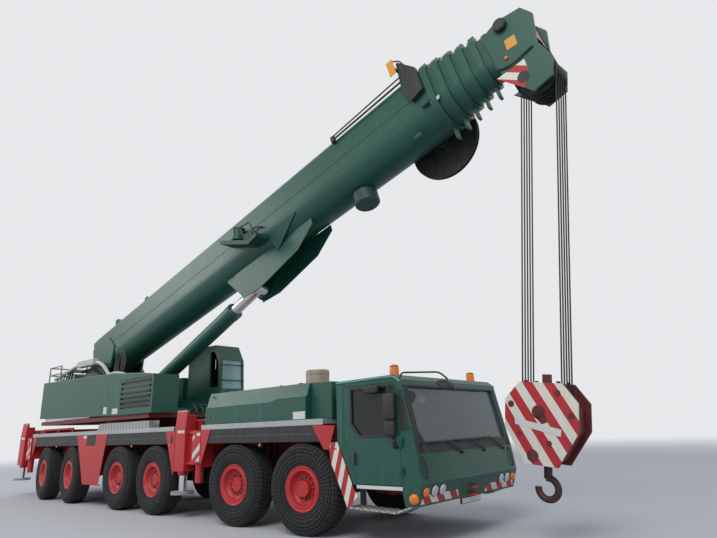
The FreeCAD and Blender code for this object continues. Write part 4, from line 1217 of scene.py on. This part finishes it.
for k in range(5):
    body = "telescope_%d" % k if k else "boom"
    s, foot = 13.95 + 0.25 * k, 0.69 - 0.045 * k
    fin = coloured(pad_grey,
                   slab("fin", [(s - 0.12, foot), (s - 0.02, tops[k]), (s + 0.01, tops[k]), (s, foot)], 0.10,
                        0.125),
                   slab("fin", [(s - 0.12, foot), (s - 0.02, tops[k]), (s + 0.01, tops[k]), (s, foot)],
                        -0.125, -0.10))
    fin += coloured(black, block("guide", (s - 0.14, -0.10, foot), (s - 0.05, 0.10, foot + 0.05), 0.01))
    fit("collar_fins_%d" % k, fin, pad_grey, body, 35, boom_frame)
    if k:
        rope = pipe("rope", [(5.4, 0, 0.815), (14.2, 0, 0.815)], 0.0150 - 0.0006 * k)
        fit("boom_rope_%d" % k, [rope], wire, body, 40, boom_frame)
rope = pipe("rope", [(1.15, 0, 0.966), (3.0, 0, 0.866), (4.6, 0, 0.815), (14.2, 0, 0.815)], 0.0150, 0.2)
fit("boom_rope_0", [rope], wire, "boom", 40, boom_frame)
rope = pipe("rope", [(5.4, 0, 0.815), (14.2, 0, 0.815), (15.60, 0, 0.355), (15.75, 0, 0.345),
                     (15.90, 0, 0.22), (15.935, 0, 0.05),
                     (15.95, 0, -1.0)], 0.0120, 0.08)
fit("boom_rope_5", [rope], wire, "telescope_5", 40, boom_frame)
winch_top, guide_top = Vector((-12.80, 0, 3.873)), Vector((-9.948, 0, 5.386))
lead = pipe("lead_rope", [winch_top + (guide_top - winch_top) * k / 24 for k in range(25)], 0.0150)
settle(lead, datum)
finish_piece(lead, wire, None, 40)
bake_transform(lead)


# Luffing cylinder
# The thick green barrel stands in the slewing bed, and its hard-chromed rod pushes at the
# ears under the boom. Both turn on pins at their ends.
dress("luffing_barrel", [green])


dress("luffing_rod", [chrome])


# Ropes, hook block and hook
# Steel rope in black grease. The block's cheek plates carry hazard stripes, five bolts, a
# keyhole, and a blank plate, and the forged hook below it is dark with rust.
dress("hoist_ropes", [wire])
block_red = paint("block_red", (0.11, 0.008, 0.010), dust_level=0.25, roughness=0.45)
dress("hook_block", [block_red])
HEAD_SHEAVE, ROPE_LEAN, BLOCK_DROP = (15.63, 0, -1.04), math.radians(7), 5.7
rope_frame = (Matrix.Translation(boom_frame @ Vector(HEAD_SHEAVE)) @ Matrix.Rotation(ROPE_LEAN, 4, "Y")
              @ Matrix.Translation((0, 0, -BLOCK_DROP)))
block_stripes = hazard("block_stripes", (0.883, 0, 0.466), 0.27, 0.1)
plate_outline = [(-0.56, 0.35), (-0.33, 0.62), (0.33, 0.62), (0.56, 0.35), (0.56, -0.05), (0.25, -0.56),
                 (-0.25, -0.56), (-0.56, -0.05)]
cheeks = both(coloured(block_stripes, slab("cheek", plate_outline, -0.268, -0.2605, "xz", 0.003)))
for x, z, size in ((-0.03, 0.19, 0.10), (-0.12, -0.44, 0.09), (0.26, 0.48, 0.045), (0.45, 0.17, 0.05),
                   (-0.46, 0.28, 0.05),
                   (-0.33, -0.14, 0.035), (0.13, -0.24, 0.04)):
    cheeks += both(coloured(block_red, bar("bolt", (x, -0.272, z), (x, -0.262, z), size, 24)))
cheeks += both(coloured(block_red,
                        slab("slot", [(-0.10, 0.14), (0.05, 0.20), (0.12, 0.06), (0.02, 0.02)], -0.272,
                             -0.262, "xz", 0.001)))
cheeks += both(coloured(white,
                        slab("blank_plate", [(-0.40, 0.08), (-0.39, -0.01), (0.30, -0.13), (0.31, -0.03)],
                             -0.272, -0.262, "xz", 0.001)))
for side in (-1, 1):
    for x, z in ((-0.05, 0.62), (0.05, 0.62)):
        cheeks += coloured(block_red,
                           bar("bolt_head", (x * 5, side * 0.20, z), (x * 5, side * 0.20, z + 0.03), 0.03,
                               12))
fit("block_cheeks", cheeks, block_red, "hook_block", 35, rope_frame)
hook_iron = paint("forged_hook", (0.045, 0.012, 0.012), dust=(0.12, 0.04, 0.025), dust_level=0.5,
                  roughness=0.5)
dress("hook", [hook_iron])


# Seats
# Foam cushions under black cloth, on steel boxes: two in the driver's cab, one in the
# crane's. Each is sewn along its edge and crowned in the middle.
def cushion(name, low, high, body):
    """A crowned pad between two corners, rounded from a subdivided box."""
    piece = block(name, low, high, 0.03, 2)
    bpy.ops.object.mode_set(mode="EDIT")
    bpy.ops.mesh.select_all(action="SELECT")
    bpy.ops.mesh.subdivide(number_cuts=5, smoothness=0.25)
    bpy.ops.mesh.vertices_smooth(factor=0.5, repeat=4)
    bpy.ops.object.mode_set(mode="OBJECT")
    settle(piece, datum)
    finish_piece(piece, cloth, body, 60)


for side, y in (("right", -0.75), ("left", 0.75)):
    cushion("driver_seat_" + side, (1.08, y - 0.30, 1.22), (1.70, y + 0.30, 1.44), "carrier")
    cushion("driver_back_" + side, (1.06, y - 0.29, 1.36), (1.31, y + 0.29, 2.12), "carrier")
cushion("crane_seat", (-7.07, 0.93, 2.70), (-6.43, 1.47, 2.93), "superstructure")
cushion("crane_back", (-7.12, 0.93, 2.86), (-6.83, 1.47, 3.57), "superstructure")


# View transform
bpy.context.scene.view_settings.view_transform = "Standard"
